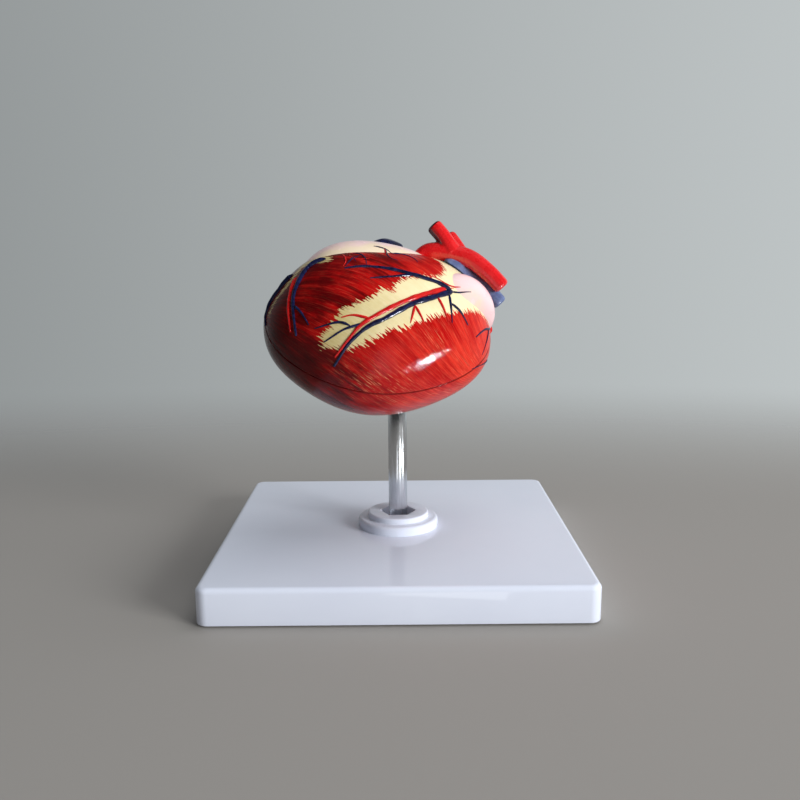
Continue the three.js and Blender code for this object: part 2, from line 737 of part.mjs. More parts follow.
const aortaPath = overBody([
  [0.597, 73.1, -5.2],
  [0.622, 79, 2.1],
  [0.655, 81.7, 4.8],
  [0.706, 87.3, 7.4],
  [0.763, 93.4, 8.7],
  [0.813, 98.8, 10.4],
]);
const brachiocephalicPath = overBody([[0.665, 82.6, 5.2], [0.622, 82.2, 11], [0.594, 81.4, 15.1]]);
const subclavianPath = overBody([[0.7, 83, 6.2], [0.657, 79, 10.9], [0.637, 76.8, 13.5]]);
const pulmonaryPath = overBody([
  [0.665, 84.6, -5],
  [0.695, 82.6, 0.2],
  [0.726, 80.9, 1],
  [0.761, 80.6, 2.5],
  [0.795, 81.6, 4.4],
  [0.828, 84, 6.3],
  [0.854, 86.4, 7.7],
]);
const cranialCavaPath = overBody([
  [0.427, 59, -6.3],
  [0.463, 57.9, 2.8],
  [0.505, 55.5, 9.3],
  [0.551, 49.9, 12.6],
]);
const caudalCavaPath = overBody([[0.456, 27.2, -15], [0.437, 23.1, -0.4], [0.426, 19.6, 12.9]]);

function aortaSolid(grow) {
  return joined([
    vesselBar(aortaPath, aortaDiameter + 2 * grow),
    vesselBar(brachiocephalicPath, brachiocephalicDiameter + 2 * grow),
    vesselBar(subclavianPath, subclavianDiameter + 2 * grow),
  ]);
}

const lobeRoom = Object.values(auricles).map((spec) => lobe(spec, slideFit));
Object.entries(auricles).forEach(([side, spec]) => {
  heart.add(named(`${side}_auricle`, lobe(spec), 'auricle'));
});

Object.entries(cords).forEach(([name, spec]) => {
  const rivals = (spec.clears ?? []).map((rival) => cordSolid(cords[rival], slideFit)).concat(lobeRoom);
  heart.add(named(name, largest(without(cordSolid(spec, 0), rivals)), cordKinds[spec.kind].finish));
});

function greatVessel(name, body, finish, passes = []) {
  heart.add(named(name, largest(without(body, [muscleSkin, ...lobeRoom, ...passes])), finish));
}

greatVessel('aorta', aortaSolid(0), 'artery');
const pulmonaryBar = vesselBar(pulmonaryPath, pulmonaryDiameter);
greatVessel('pulmonary_artery', pulmonaryBar, 'pulmonary', [aortaSolid(slideFit)]);
greatVessel('cranial_vena_cava', vesselBar(cranialCavaPath, cavaDiameter), 'vein');
greatVessel('caudal_vena_cava', vesselBar(caudalCavaPath, cavaDiameter), 'vein');

const pulmonaryVeinPlaces = [[0.8, 338], [0.72, 8], [0.85, 20]];
pulmonaryVeinPlaces.forEach((place, i) => {
  const start = onBody(...place, -vesselRoot);
  const end = start.clone().addScaledVector(bodyNormal(...place), pulmonaryVeinReach);
  const radius = pulmonaryVeinDiameter / 2;
  greatVessel(`pulmonary_vein_${i + 1}`, horn(start, end, radius, radius, vesselSides), 'artery');
});

const group = new THREE.Group();
group.add(stand, heart);

export default group;
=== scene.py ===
import math

import bmesh
import bpy
import numpy as np
from mathutils import Matrix, Vector, kdtree


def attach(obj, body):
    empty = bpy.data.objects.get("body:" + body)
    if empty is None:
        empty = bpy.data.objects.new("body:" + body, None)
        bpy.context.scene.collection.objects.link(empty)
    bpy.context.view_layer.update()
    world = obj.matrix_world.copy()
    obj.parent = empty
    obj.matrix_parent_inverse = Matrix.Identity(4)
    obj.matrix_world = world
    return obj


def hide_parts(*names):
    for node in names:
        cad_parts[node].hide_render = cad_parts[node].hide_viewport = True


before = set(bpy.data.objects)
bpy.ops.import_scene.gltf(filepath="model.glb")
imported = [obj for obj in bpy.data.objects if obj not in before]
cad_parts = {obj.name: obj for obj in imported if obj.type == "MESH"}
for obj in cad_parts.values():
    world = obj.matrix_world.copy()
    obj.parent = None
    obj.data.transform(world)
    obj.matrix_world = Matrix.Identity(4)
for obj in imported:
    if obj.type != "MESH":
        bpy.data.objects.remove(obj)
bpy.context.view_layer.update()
bpy.ops.object.select_all(action="DESELECT")

# Camera, a 38 mm lens on a 36 mm sensor. It stands a third of a metre in front of the heart,
# a little above it, and looks down by ten degrees.
camera_data = bpy.data.cameras.new("camera")
camera_data.sensor_width = 36
camera_data.lens = 36 * 848.9013 / 800
camera_data.clip_start = 0.01
camera = bpy.data.objects.new("camera", camera_data)
bpy.context.collection.objects.link(camera)
look_down, look_aside, camera_roll = 0.1803664, 0.0020345, -0.0078285
forward = Vector((
    math.sin(look_aside) * math.cos(look_down),
    math.cos(look_aside) * math.cos(look_down),
    -math.sin(look_down),
))
level_right = Vector((math.cos(look_aside), -math.sin(look_aside), 0))
level_up = level_right.cross(forward)
camera_right = level_right * math.cos(camera_roll) + level_up * math.sin(camera_roll)
camera_up = level_up * math.cos(camera_roll) - level_right * math.sin(camera_roll)
turned = Matrix((camera_right, camera_up, -forward)).transposed().to_4x4()
camera.matrix_world = Matrix.Translation((0.00048987, -0.36350438, 0.13748184)) @ turned
bpy.context.scene.camera = camera
bpy.context.scene.view_settings.view_transform = "Standard"


# Studio floor, a wide sheet of pale grey card that fades into the wall colour far out.
# The stand's soft shadow falls on it to the left.
def linear(red, green, blue):
    """A paint's colour as a screen shows it, 0 to 255, in the values that a shader takes."""
    parts = [value / 255 for value in (red, green, blue)]
    return [part / 12.92 if part <= 0.04045 else ((part + 0.055) / 1.055) ** 2.4 for part in parts] + [1]


def new_paint(name):
    """A material with its nodes, its links and its shader."""
    made = bpy.data.materials.new(name)
    made.use_nodes = True
    tree = made.node_tree
    return made, tree.nodes, tree.links, tree.nodes["Principled BSDF"]


bpy.ops.mesh.primitive_circle_add(vertices=128, radius=7, fill_type="NGON")
floor = bpy.context.active_object
floor.name = "studio_floor"
card, nodes, links, shader = new_paint("pale_grey_card")
shader.inputs["Base Color"].default_value = linear(166, 160, 153)
shader.inputs["Roughness"].default_value = 0.7
shader.inputs["Specular IOR Level"].default_value = 0.2
place = nodes.new("ShaderNodeTexCoord")
distance = nodes.new("ShaderNodeVectorMath")
distance.operation = "DISTANCE"
distance.inputs[1].default_value = (0, -1.2, 0)
links.new(place.outputs["Object"], distance.inputs[0])
fade = nodes.new("ShaderNodeMapRange")
fade.interpolation_type = "SMOOTHSTEP"
fade.inputs["From Min"].default_value = 1.27
fade.inputs["From Max"].default_value = 1.7
links.new(distance.outputs["Value"], fade.inputs["Value"])
open_air = nodes.new("ShaderNodeBsdfTransparent")
blend = nodes.new("ShaderNodeMixShader")
links.new(fade.outputs["Result"], blend.inputs["Fac"])
links.new(shader.outputs["BSDF"], blend.inputs[1])
links.new(open_air.outputs["BSDF"], blend.inputs[2])
links.new(blend.outputs["Shader"], nodes["Material Output"].inputs["Surface"])
floor.data.materials.append(card)

# Light: a soft window on the right, a ceiling lamp and the room's own light, which is weaker on the
# left. Gloss shows the pale wall, dimmer overhead and behind the camera, and two lamps of its own.
world = bpy.data.worlds.new("studio")
bpy.context.scene.world = world
world.use_nodes = True
sky_nodes, sky_links = world.node_tree.nodes, world.node_tree.links
ray = sky_nodes.new("ShaderNodeLightPath")


def sky_math(way, first, second):
    """A product or the like of two outputs in the world's nodes."""
    result = sky_nodes.new("ShaderNodeMath")
    result.operation = way
    sky_links.new(first, result.inputs[0])
    sky_links.new(second, result.inputs[1])
    return result.outputs["Value"]


direction = sky_nodes.new("ShaderNodeTexCoord")
apart = sky_nodes.new("ShaderNodeSeparateXYZ")
sky_links.new(direction.outputs["Generated"], apart.inputs["Vector"])
room = sky_nodes["Background"]
room.inputs["Color"].default_value = linear(232, 240, 250)
wall = sky_nodes.new("ShaderNodeBackground")
wall.inputs["Color"].default_value = linear(205, 211, 212)
for backdrop, left, right, edge, behind, above in ((room, 0.14, 0.6, 1, 0.95, 0.7), (wall, 0.48, 0.85, 0.45, 0.06, 0.1)):
    strength = None
    for axis, low, high, bottom, top in (
        ("X", -edge, edge, left, right), ("Y", -0.3, 0.35, behind, 1), ("Z", 0.35, 0.75, 1, above),
    ):
        falloff = sky_nodes.new("ShaderNodeMapRange")
        for name, value in (("From Min", low), ("From Max", high), ("To Min", bottom), ("To Max", top)):
            falloff.inputs[name].default_value = value
        sky_links.new(apart.outputs[axis], falloff.inputs["Value"])
        level = falloff.outputs["Result"]
        if backdrop == wall and axis != "X":
            level = sky_math("MAXIMUM", level, ray.outputs["Is Camera Ray"])
        strength = sky_math("MULTIPLY", strength, level) if strength else level
    sky_links.new(strength, backdrop.inputs["Strength"])
shown = sky_math("MAXIMUM", ray.outputs["Is Camera Ray"], ray.outputs["Is Glossy Ray"])
shown = sky_math("MAXIMUM", shown, ray.outputs["Is Transmission Ray"])
pick = sky_nodes.new("ShaderNodeMixShader")
sky_links.new(shown, pick.inputs["Fac"])
sky_links.new(room.outputs["Background"], pick.inputs[1])
sky_links.new(wall.outputs["Background"], pick.inputs[2])
sky_links.new(pick.outputs["Shader"], sky_nodes["World Output"].inputs["Surface"])
for name, spot, aim, along, size, power, in_gloss in (
    ("window", (1.84, -1.4, 0.58), (0, 0, 0.09), (1, 1, 0), (1, 1), 60, False),
    ("ceiling", (0.3, 0.1, 1.05), (0, 0, 0.05), (1, 0, 0), (0.8, 0.8), 4.1, False),
    ("low_gloss", (0.155, -0.131, 0.004), (0.155, -0.131, 1), (0.8, -0.6, 0), (0.046, 0.022), 1.25, True),
    ("front_gloss", (0.05, -0.22, 0.003), (0.05, -0.22, 1), (0.25, -0.97, 0), (0.26, 0.05), 0.08, True),
):
    lamp_data = bpy.data.lights.new(name, "AREA")
    lamp_data.shape = "RECTANGLE"
    lamp_data.size, lamp_data.size_y = size
    lamp_data.energy = power
    lamp_data.color = (0.93, 0.965, 1)
    lamp = bpy.data.objects.new(name, lamp_data)
    bpy.context.collection.objects.link(lamp)
    lamp.visible_camera = False
    lamp.visible_glossy = in_gloss
    lamp.visible_diffuse = not in_gloss
    back = (Vector(spot) - Vector(aim)).normalized()
    side = (Vector(along) - back * back.dot(Vector(along))).normalized()
    lamp.matrix_world = Matrix.Translation(spot) @ Matrix((side, back.cross(side), back)).transposed().to_4x4()


# Base plate: a white tray moulded in a hard glossy plastic, 150 by 145 mm, with rounded edges.
# Underneath it is hollow, with a cross of ribs, a boss for the clamped post and four for the feet.
MM = 0.001


def edit_mesh(piece, kind):
    """Enters edit mode on a piece with nothing selected."""
    bpy.ops.object.select_all(action="DESELECT")
    piece.select_set(True)
    bpy.context.view_layer.objects.active = piece
    bpy.ops.object.mode_set(mode="EDIT")
    bpy.ops.mesh.select_mode(type=kind)
    bpy.ops.mesh.select_all(action="DESELECT")
    return bmesh.from_edit_mesh(piece.data)


def bevel_where(piece, wanted, width, steps):
    """Rounds the edges whose two ends, in mm, pass the test, with a bevel of that width in mm."""
    mesh = edit_mesh(piece, "EDGE")
    for edge in mesh.edges:
        if wanted(*(vertex.co / MM for vertex in edge.verts)):
            edge.select_set(True)
    mesh.select_flush_mode()
    bmesh.update_edit_mesh(piece.data)
    bpy.ops.mesh.bevel(offset=width * MM, segments=steps, affect="EDGES")
    bpy.ops.object.mode_set(mode="OBJECT")


def shape_edges(piece, wanted, width, steps):
    """Rounds the edges whose two ends both pass a test of one point."""
    bevel_where(piece, lambda one, other: wanted(one) and wanted(other), width, steps)


def pick_faces(piece, wanted):
    """Enters edit mode with only the faces selected whose middle, in mm, and normal pass the test."""
    mesh = edit_mesh(piece, "FACE")
    mesh.normal_update()
    for face in mesh.faces:
        if wanted(face.calc_center_median() / MM, face.normal):
            face.select_set(True)
    mesh.select_flush_mode()
    bmesh.update_edit_mesh(piece.data)


def new_rod(name, radius, bottom, top, centre=(0, 0), sides=96, turn=0):
    """An upright round bar, sizes in mm."""
    bpy.ops.object.select_all(action="DESELECT")
    bpy.ops.mesh.primitive_cylinder_add(
        vertices=sides, radius=radius * MM, depth=(top - bottom) * MM,
        location=(centre[0] * MM, centre[1] * MM, (bottom + top) / 2 * MM), rotation=(0, 0, turn),
    )
    piece = bpy.context.active_object
    piece.name = name
    bpy.ops.object.transform_apply(location=True, rotation=True, scale=True)
    return piece


def new_block(name, size, centre):
    """An upright block, sizes in mm."""
    bpy.ops.object.select_all(action="DESELECT")
    bpy.ops.mesh.primitive_cube_add(size=1, location=[value * MM for value in centre])
    piece = bpy.context.active_object
    piece.name = name
    piece.scale = [value * MM for value in size]
    bpy.ops.object.transform_apply(location=True, rotation=True, scale=True)
    return piece


def combine(piece, tool, way):
    """Cuts the tool out of the piece, keeps what they share, or fuses them, and removes the tool."""
    cut = piece.modifiers.new("cut", "BOOLEAN")
    cut.operation = way
    cut.solver = "EXACT"
    cut.object = tool
    cut.material_mode = "TRANSFER"
    bpy.ops.object.select_all(action="DESELECT")
    bpy.context.view_layer.objects.active = piece
    piece.select_set(True)
    bpy.ops.object.modifier_apply(modifier=cut.name)
    bpy.data.objects.remove(tool)


def smooth_round(piece, crease=35):
    """Smooth shading that keeps edges sharper than so many degrees."""
    bpy.ops.object.select_all(action="DESELECT")
    piece.select_set(True)
    bpy.context.view_layer.objects.active = piece
    bpy.ops.object.shade_smooth_by_angle(angle=math.radians(crease))


def put_in_place(piece, body, nodes_it_replaces, paints=()):
    """Gives the piece its materials and ties it to the body that carries it."""
    if paints:
        piece.data.materials.clear()
    for paint in paints:
        piece.data.materials.append(paint)
    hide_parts(*nodes_it_replaces)
    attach(piece, body)


def speckle(nodes, links, source, size, detail=2, rough=0.5):
    """Noise whose grains are so many mm across, over a position in metres."""
    noise = nodes.new("ShaderNodeTexNoise")
    noise.inputs["Scale"].default_value = 1 / (size * MM)
    noise.inputs["Detail"].default_value = detail
    noise.inputs["Roughness"].default_value = rough
    links.new(source, noise.inputs["Vector"])
    return noise.outputs["Fac"]


def remap(nodes, links, source, low, high, bottom=0.0, top=1.0, soft=False):
    """The source from low to high, as bottom to top."""
    change = nodes.new("ShaderNodeMapRange")
    change.interpolation_type = "SMOOTHSTEP" if soft else "LINEAR"
    for name, value in (("From Min", low), ("From Max", high), ("To Min", bottom), ("To Max", top)):
        change.inputs[name].default_value = value
    links.new(source, change.inputs["Value"])
    return change.outputs["Result"]


def layer(nodes, links, share, under, over):
    """The colour over laid on the colour under where share is 1. A colour is a list or a socket."""
    mixing = nodes.new("ShaderNodeMix")
    mixing.data_type = "RGBA"
    for socket, colour in ((mixing.inputs[6], under), (mixing.inputs[7], over)):
        if isinstance(colour, list):
            socket.default_value = colour
        else:
            links.new(colour, socket)
    links.new(share, mixing.inputs[0])
    return mixing.outputs[2]


def relief(nodes, links, shader, height, depth, strength=1.0):
    """Raises the surface by so many mm where height is 1."""
    bump = nodes.new("ShaderNodeBump")
    bump.inputs["Distance"].default_value = depth * MM
    bump.inputs["Strength"].default_value = strength
    links.new(height, bump.inputs["Height"])
    links.new(bump.outputs["Normal"], shader.inputs["Normal"])


plate_width, plate_depth = 150, 145
plate_bottom, plate_top, plate_ceiling = 0.6, 15.0, 12.6
plate_wall, plate_corner, plate_edge = 2.4, 4.8, 2.2
tray = new_block(
    "tray", (plate_width, plate_depth, plate_top - plate_bottom), (0, 0, (plate_top + plate_bottom) / 2)
)
bevel_where(tray, lambda one, other: abs(one.z - other.z) > 1, plate_corner, 10)
shape_edges(tray, lambda p: p.z > plate_top - 0.01, plate_edge, 8)
pick_faces(tray, lambda middle, normal: normal.z < -0.9)
bpy.ops.mesh.inset(thickness=plate_wall * MM)
bpy.ops.mesh.extrude_region_move(
    TRANSFORM_OT_translate={"value": (0, 0, (plate_ceiling - plate_bottom) * MM)}
)
bpy.ops.transform.resize(value=(0.992, 0.992, 1), center_override=(0, 0, 0))
bpy.ops.object.mode_set(mode="OBJECT")
shape_edges(tray, lambda p: p.z < plate_bottom + 0.01, 0.35, 3)
rib_thickness, rib_bottom = 1.6, 5.6
for across, along in (((plate_width - 2, rib_thickness), 0), ((rib_thickness, plate_depth - 2), 1)):
    rib = new_block(
        "rib", (*across, plate_ceiling + 1 - rib_bottom), (0, 0, (plate_ceiling + 1 + rib_bottom) / 2)
    )
    shape_edges(rib, lambda p: p.z < rib_bottom + 0.01, 0.3, 2)
    combine(tray, rib, "UNION")
foot_places = [(-61, -58.5), (61, -58.5), (61, 58.5), (-61, 58.5)]
bosses = [new_rod("boss", 8, 2.42, plate_ceiling + 1, place, 48) for place in foot_places]
bosses.append(new_rod("clamp", 12, 10.4, plate_ceiling + 1, sides=64))
for boss in bosses:
    combine(tray, boss, "UNION")
combine(tray, new_rod("hole", 4.3, -1, plate_top + 1, sides=64), "DIFFERENCE")
tray.name = "moulded_tray"
smooth_round(tray, 30)

gloss_white, nodes, links, shader = new_paint("gloss_white_plastic")
place = nodes.new("ShaderNodeTexCoord").outputs["Object"]
cloud = speckle(nodes, links, place, 40, 3)
whites = layer(nodes, links, remap(nodes, links, cloud, 0.3, 0.7), linear(228, 231, 243), linear(232, 235, 246))
dust = remap(nodes, links, speckle(nodes, links, place, 0.8, 4, 0.7), 0.735, 0.76)
whites = layer(nodes, links, dust, whites, linear(208, 208, 214))
links.new(whites, shader.inputs["Base Color"])
links.new(remap(nodes, links, cloud, 0.3, 0.7, 0.03, 0.055), shader.inputs["Roughness"])
relief(nodes, links, shader, speckle(nodes, links, place, 2.5, 2), 0.02, 0.12)
put_in_place(tray, "stand", ["base_plate"], [gloss_white])

# Rubber feet: four soft black discs, pressed on to the bosses under the tray's corners.
# They keep the stand from sliding.
soft_rubber, nodes, links, shader = new_paint("black_rubber")
place = nodes.new("ShaderNodeTexCoord").outputs["Object"]
bloom = speckle(nodes, links, place, 3, 4, 0.6)
blacks = layer(nodes, links, remap(nodes, links, bloom, 0.35, 0.7), linear(30, 30, 33), linear(52, 52, 55))
links.new(blacks, shader.inputs["Base Color"])
links.new(remap(nodes, links, bloom, 0.3, 0.7, 0.7, 0.88), shader.inputs["Roughness"])
relief(nodes, links, shader, speckle(nodes, links, place, 0.35, 3), 0.04, 0.5)
for number, place in enumerate(foot_places, 1):
    foot = new_rod(f"foot_{number}", 6, 0, 2.4, place, 64)
    shape_edges(foot, lambda p: p.z < 0.01, 0.5, 4)
    shape_edges(foot, lambda p: p.z > 2.39, 0.15, 2)
    smooth_round(foot)
    put_in_place(foot, "stand", [f"rubber_foot_{number}"], [soft_rubber])

# Post collar: a white two-step flange of the same plastic, with soft edges.
# A hexagonal pocket in its top holds the upper nut.
collar = new_rod("collar", 17.6, 15.02, 19.02, sides=128)
pick_faces(collar, lambda middle, normal: normal.z > 0.9)
bpy.ops.mesh.inset(thickness=4.2 * MM)
bpy.ops.mesh.extrude_region_move(TRANSFORM_OT_translate={"value": (0, 0, 2.4 * MM)})
bpy.ops.object.mode_set(mode="OBJECT")
shape_edges(collar, lambda p: abs(p.z - 19.02) < 0.01 and math.hypot(p.x, p.y) > 17, 1.4, 8)
shape_edges(collar, lambda p: abs(p.z - 21.42) < 0.01, 0.8, 6)
shape_edges(collar, lambda p: abs(p.z - 19.02) < 0.01 and math.hypot(p.x, p.y) < 14, 0.4, 3)
pocket = new_rod("pocket", 13.6 / math.sqrt(3), 16.5, 23, sides=6, turn=math.radians(30))
combine(collar, pocket, "DIFFERENCE")
combine(collar, new_rod("hole", 4.3, 10, 23, sides=64), "DIFFERENCE")
shape_edges(collar, lambda p: abs(p.z - 21.42) < 0.01 and math.hypot(p.x, p.y) < 8.5, 0.25, 3)
collar.name = "two_step_collar"
smooth_round(collar, 30)
put_in_place(collar, "stand", ["post_collar"], [gloss_white])

# Nuts: zinc-plated hexagons, 13 mm across flats, chamfered on both faces.
# The upper one sits in the collar's pocket and the lower one clamps the post under the tray.
zinc, nodes, links, shader = new_paint("zinc_plate")
place = nodes.new("ShaderNodeTexCoord").outputs["Object"]
spangle = speckle(nodes, links, place, 1.6, 4, 0.6)
greys = layer(nodes, links, remap(nodes, links, spangle, 0.35, 0.65), linear(150, 150, 146), linear(196, 198, 196))
links.new(greys, shader.inputs["Base Color"])
shader.inputs["Metallic"].default_value = 1
links.new(remap(nodes, links, spangle, 0.3, 0.7, 0.26, 0.42), shader.inputs["Roughness"])
relief(nodes, links, shader, speckle(nodes, links, place, 0.25, 2), 0.015, 0.4)
nut_corner = 13 / math.sqrt(3)
for name, node, bottom in (("pocket_nut", "upper_nut", 16.52), ("clamp_nut", "lower_nut", 4.56)):
    nut = new_rod(name, nut_corner, bottom, bottom + 4.2, sides=6, turn=math.radians(30))
    crown = new_rod("crown", nut_corner, bottom, bottom + 4.2, sides=96)
    shape_edges(crown, lambda p: True, 0.62, 1)
    combine(nut, crown, "INTERSECT")
    combine(nut, new_rod("bore", 4.3, bottom - 1, bottom + 6, sides=64), "DIFFERENCE")
    shape_edges(nut, lambda p: math.hypot(p.x, p.y) < 4.35, 0.3, 2)
    smooth_round(nut, 25)
    put_in_place(nut, "stand", [node], [zinc])

# Washer: a flat zinc-plated ring between the lower nut and the tray's clamp boss.
ring = new_rod("flat_washer", 8.5, 8.78, 10.38, sides=96)
combine(ring, new_rod("bore", 4.3, 8, 12, sides=64), "DIFFERENCE")
shape_edges(ring, lambda p: p.z < 8.79, 0.25, 2)
smooth_round(ring, 25)
put_in_place(ring, "stand", ["clamp_washer"], [zinc])

# Post: a bright drawn steel rod, 8 mm thick, with a chamfer at each end.
# It carries the heart, and its lower end is clamped in the tray.
post = new_rod("steel_post", 4, 3.36, 75.5, sides=96)
shape_edges(post, lambda p: p.z < 3.4 or p.z > 75.4, 0.8, 2)
smooth_round(post, 25)
bright, nodes, links, shader = new_paint("bright_steel")
place = nodes.new("ShaderNodeTexCoord").outputs["Object"]
squeeze = nodes.new("ShaderNodeMapping")
squeeze.inputs["Scale"].default_value = (1, 1, 0.06)
links.new(place, squeeze.inputs["Vector"])
drawn = speckle(nodes, links, squeeze.outputs["Vector"], 0.35, 3, 0.6)
steels = layer(nodes, links, remap(nodes, links, drawn, 0.3, 0.7), linear(206, 208, 211), linear(232, 234, 236))
links.new(steels, shader.inputs["Base Color"])
shader.inputs["Metallic"].default_value = 1
links.new(remap(nodes, links, drawn, 0.3, 0.7, 0.1, 0.2), shader.inputs["Roughness"])
relief(nodes, links, shader, drawn, 0.006, 0.3)
put_in_place(post, "stand", ["post"], [bright])

# Bush: a nylon sleeve glued into the heart's underside, closed at its top.
# It rests on the post's end, so the heart turns on it and lifts off.
bush = new_rod("nylon_bush", 6.2, 67.32, 77.12, sides=96)
combine(bush, new_rod("bore", 4.08, 60, 75.52, sides=96), "DIFFERENCE")
shape_edges(bush, lambda p: p.z < 67.4, 0.3, 3)
smooth_round(bush, 30)
nylon, nodes, links, shader = new_paint("natural_nylon")
place = nodes.new("ShaderNodeTexCoord").outputs["Object"]
haze = speckle(nodes, links, place, 2, 3)
creams = layer(nodes, links, remap(nodes, links, haze, 0.3, 0.7), linear(226, 223, 210), linear(238, 236, 226))
links.new(creams, shader.inputs["Base Color"])
links.new(remap(nodes, links, haze, 0.3, 0.7, 0.42, 0.56), shader.inputs["Roughness"])
relief(nodes, links, shader, speckle(nodes, links, place, 0.3, 2), 0.01, 0.3)
put_in_place(bush, "socket", ["post_socket"], [nylon])

# Heart casting: an egg-shaped resin casting 98 mm long, cut into a front and a back half.
# It is described by s, 0 at the apex to 1 at the base, and by the turn round it in degrees,
# 0 at the back, 90 at the top, 180 at the front and 270 at the bottom.
HALF_LENGTH = 49
TOP = (26, 36.5, 36, 40.5, 38)
BOTTOM = (39, 34.5, 35, 31, 30)
DEPTH = (37, 35, 33.5, 31, 29)
CENTRE = np.array((-7.7, 0, 99.9))
PITCH, YAW = math.radians(9.5), math.radians(8)
TO_STAND = np.array(Matrix.Rotation(YAW, 3, "Z") @ Matrix.Rotation(PITCH, 3, "Y"))


def half_size(sizes, s):
    """A half size of the egg, on a smooth curve through five stations."""
    values = np.array(sizes, float)
    along = np.clip(np.asarray(s, float), 0, 1) * (len(values) - 1)
    first = np.minimum(np.floor(along).astype(int), len(values) - 2)
    t = along - first
    before, here, after, later = (values[np.clip(first + k, 0, len(values) - 1)] for k in (-1, 0, 1, 2))
    leave, arrive = (after - before) / 2, (later - here) / 2
    bend = (2 * here - 2 * after + leave + arrive) * t**3
    return bend + (-3 * here + 3 * after - 2 * leave - arrive) * t**2 + leave * t + here


def casting(s, turn, proud=0.0):
    """Points of the casting's surface, or so many mm proud of it, in metres."""
    s, turn, proud = np.broadcast_arrays(*(np.asarray(v, float) for v in (s, turn, proud)))
    angle = np.radians(turn)
    height = np.where(np.sin(angle) > 0, half_size(TOP, s), half_size(BOTTOM, s)) + proud
    depth = half_size(DEPTH, s) + proud
    full = np.sin(np.pi * s)
    local = np.stack([
        -(HALF_LENGTH + proud) * np.cos(np.pi * s),
        depth * full * np.cos(angle),
        height * full * np.sin(angle),
    ], -1)
    return (local @ TO_STAND.T + CENTRE) * MM


def station(points):
    """The s and turn of points in metres that lie on or near the casting."""
    local = (np.asarray(points) / MM - CENTRE) @ TO_STAND
    s = np.arccos(np.clip(-local[:, 0] / HALF_LENGTH, -1, 1)) / np.pi
    height = np.where(local[:, 2] > 0, half_size(TOP, s), half_size(BOTTOM, s))
    turn = np.degrees(np.arctan2(local[:, 2] / height, local[:, 1] / half_size(DEPTH, s)))
    return s, np.where(turn < -60, turn + 360, turn)


def corners_of(mesh):
    """The mesh's vertices as an array."""
    spots = np.empty(len(mesh.vertices) * 3, np.float32)
    mesh.vertices.foreach_get("co", spots)
    return spots.reshape(-1, 3).astype(float)


def new_egg(name, proud=0.0, sides=176, rings=128):
    """A sphere with its poles at apex and base, drawn out to the casting's form."""
    bpy.ops.object.select_all(action="DESELECT")
    bpy.ops.mesh.primitive_uv_sphere_add(
        segments=sides, ring_count=rings, radius=1, rotation=(0, math.pi / 2, 0)
    )
    egg = bpy.context.active_object
    egg.name = name
    bpy.ops.object.transform_apply(location=True, rotation=True, scale=True)
    ball = corners_of(egg.data)
    s = np.arccos(np.clip(-ball[:, 0], -1, 1)) / np.pi
    turn = np.degrees(np.arctan2(ball[:, 2], ball[:, 1]))
    egg.data.vertices.foreach_set("co", casting(s, turn, proud).ravel())
    egg.data.update()
    return egg


# The parting face leans towards the viewer. Its own frame has the four chambers in its plane.
parting_point = Vector((0, 0, 105.8)) * MM
parting_turn = Matrix.Rotation(math.radians(47.7), 4, "X") @ Matrix.Rotation(math.radians(9.5), 4, "Y")
parting_frame = Matrix.Translation(parting_point) @ parting_turn
parting_normal = (parting_turn @ Vector((0, 0, 1))).normalized()


def in_parting_frame(piece):
    """Takes a piece made flat on the origin to the parting face."""
    piece.data.transform(parting_frame)
    return piece


chambers = (
    ((-13, -19), (30, 12.5, 14), 8),
    ((-8, 12), (26, 11, 13), -6),
    ((20, -15.5), (11.5, 11, 12), 0),
    ((20, 9.5), (11.5, 10, 12), 0),
)
lining, nodes, links, shader = new_paint("chamber_lining")
place = nodes.new("ShaderNodeTexCoord").outputs["Object"]
blush = speckle(nodes, links, place, 7, 3)
sheen = layer(nodes, links, remap(nodes, links, blush, 0.35, 0.65), linear(206, 112, 98), linear(226, 158, 138))
streak = remap(nodes, links, speckle(nodes, links, place, 1.2, 3, 0.6), 0.52, 0.62)
sheen = layer(nodes, links, streak, sheen, linear(176, 74, 66))
links.new(sheen, shader.inputs["Base Color"])
links.new(remap(nodes, links, blush, 0.3, 0.7, 0.2, 0.3), shader.inputs["Roughness"])
relief(nodes, links, shader, speckle(nodes, links, place, 2.2, 3, 0.55), 0.5, 0.6)
hollow = None
for centre, half, turn in chambers:
    bpy.ops.object.select_all(action="DESELECT")
    bpy.ops.mesh.primitive_uv_sphere_add(segments=56, ring_count=36, radius=1, rotation=(0, math.pi / 2, 0))
    room = bpy.context.active_object
    bpy.ops.object.transform_apply(location=True, rotation=True, scale=True)
    spin = Matrix.Rotation(math.radians(turn), 4, "Z")
    stretch = Matrix.Diagonal((*(value * MM for value in half), 1))
    off_face = Matrix.Rotation(math.radians(180 / 56), 4, "X")
    room.data.transform(Matrix.Translation((centre[0] * MM, centre[1] * MM, 0)) @ spin @ stretch @ off_face)
    in_parting_frame(room)
    if hollow is None:
        hollow = room
    else:
        combine(hollow, room, "UNION")
combine(hollow, new_egg("inner", -4, 96, 64), "INTERSECT")
hollow.data.materials.clear()
hollow.data.materials.append(lining)
for face in hollow.data.polygons:
    face.material_index = 0

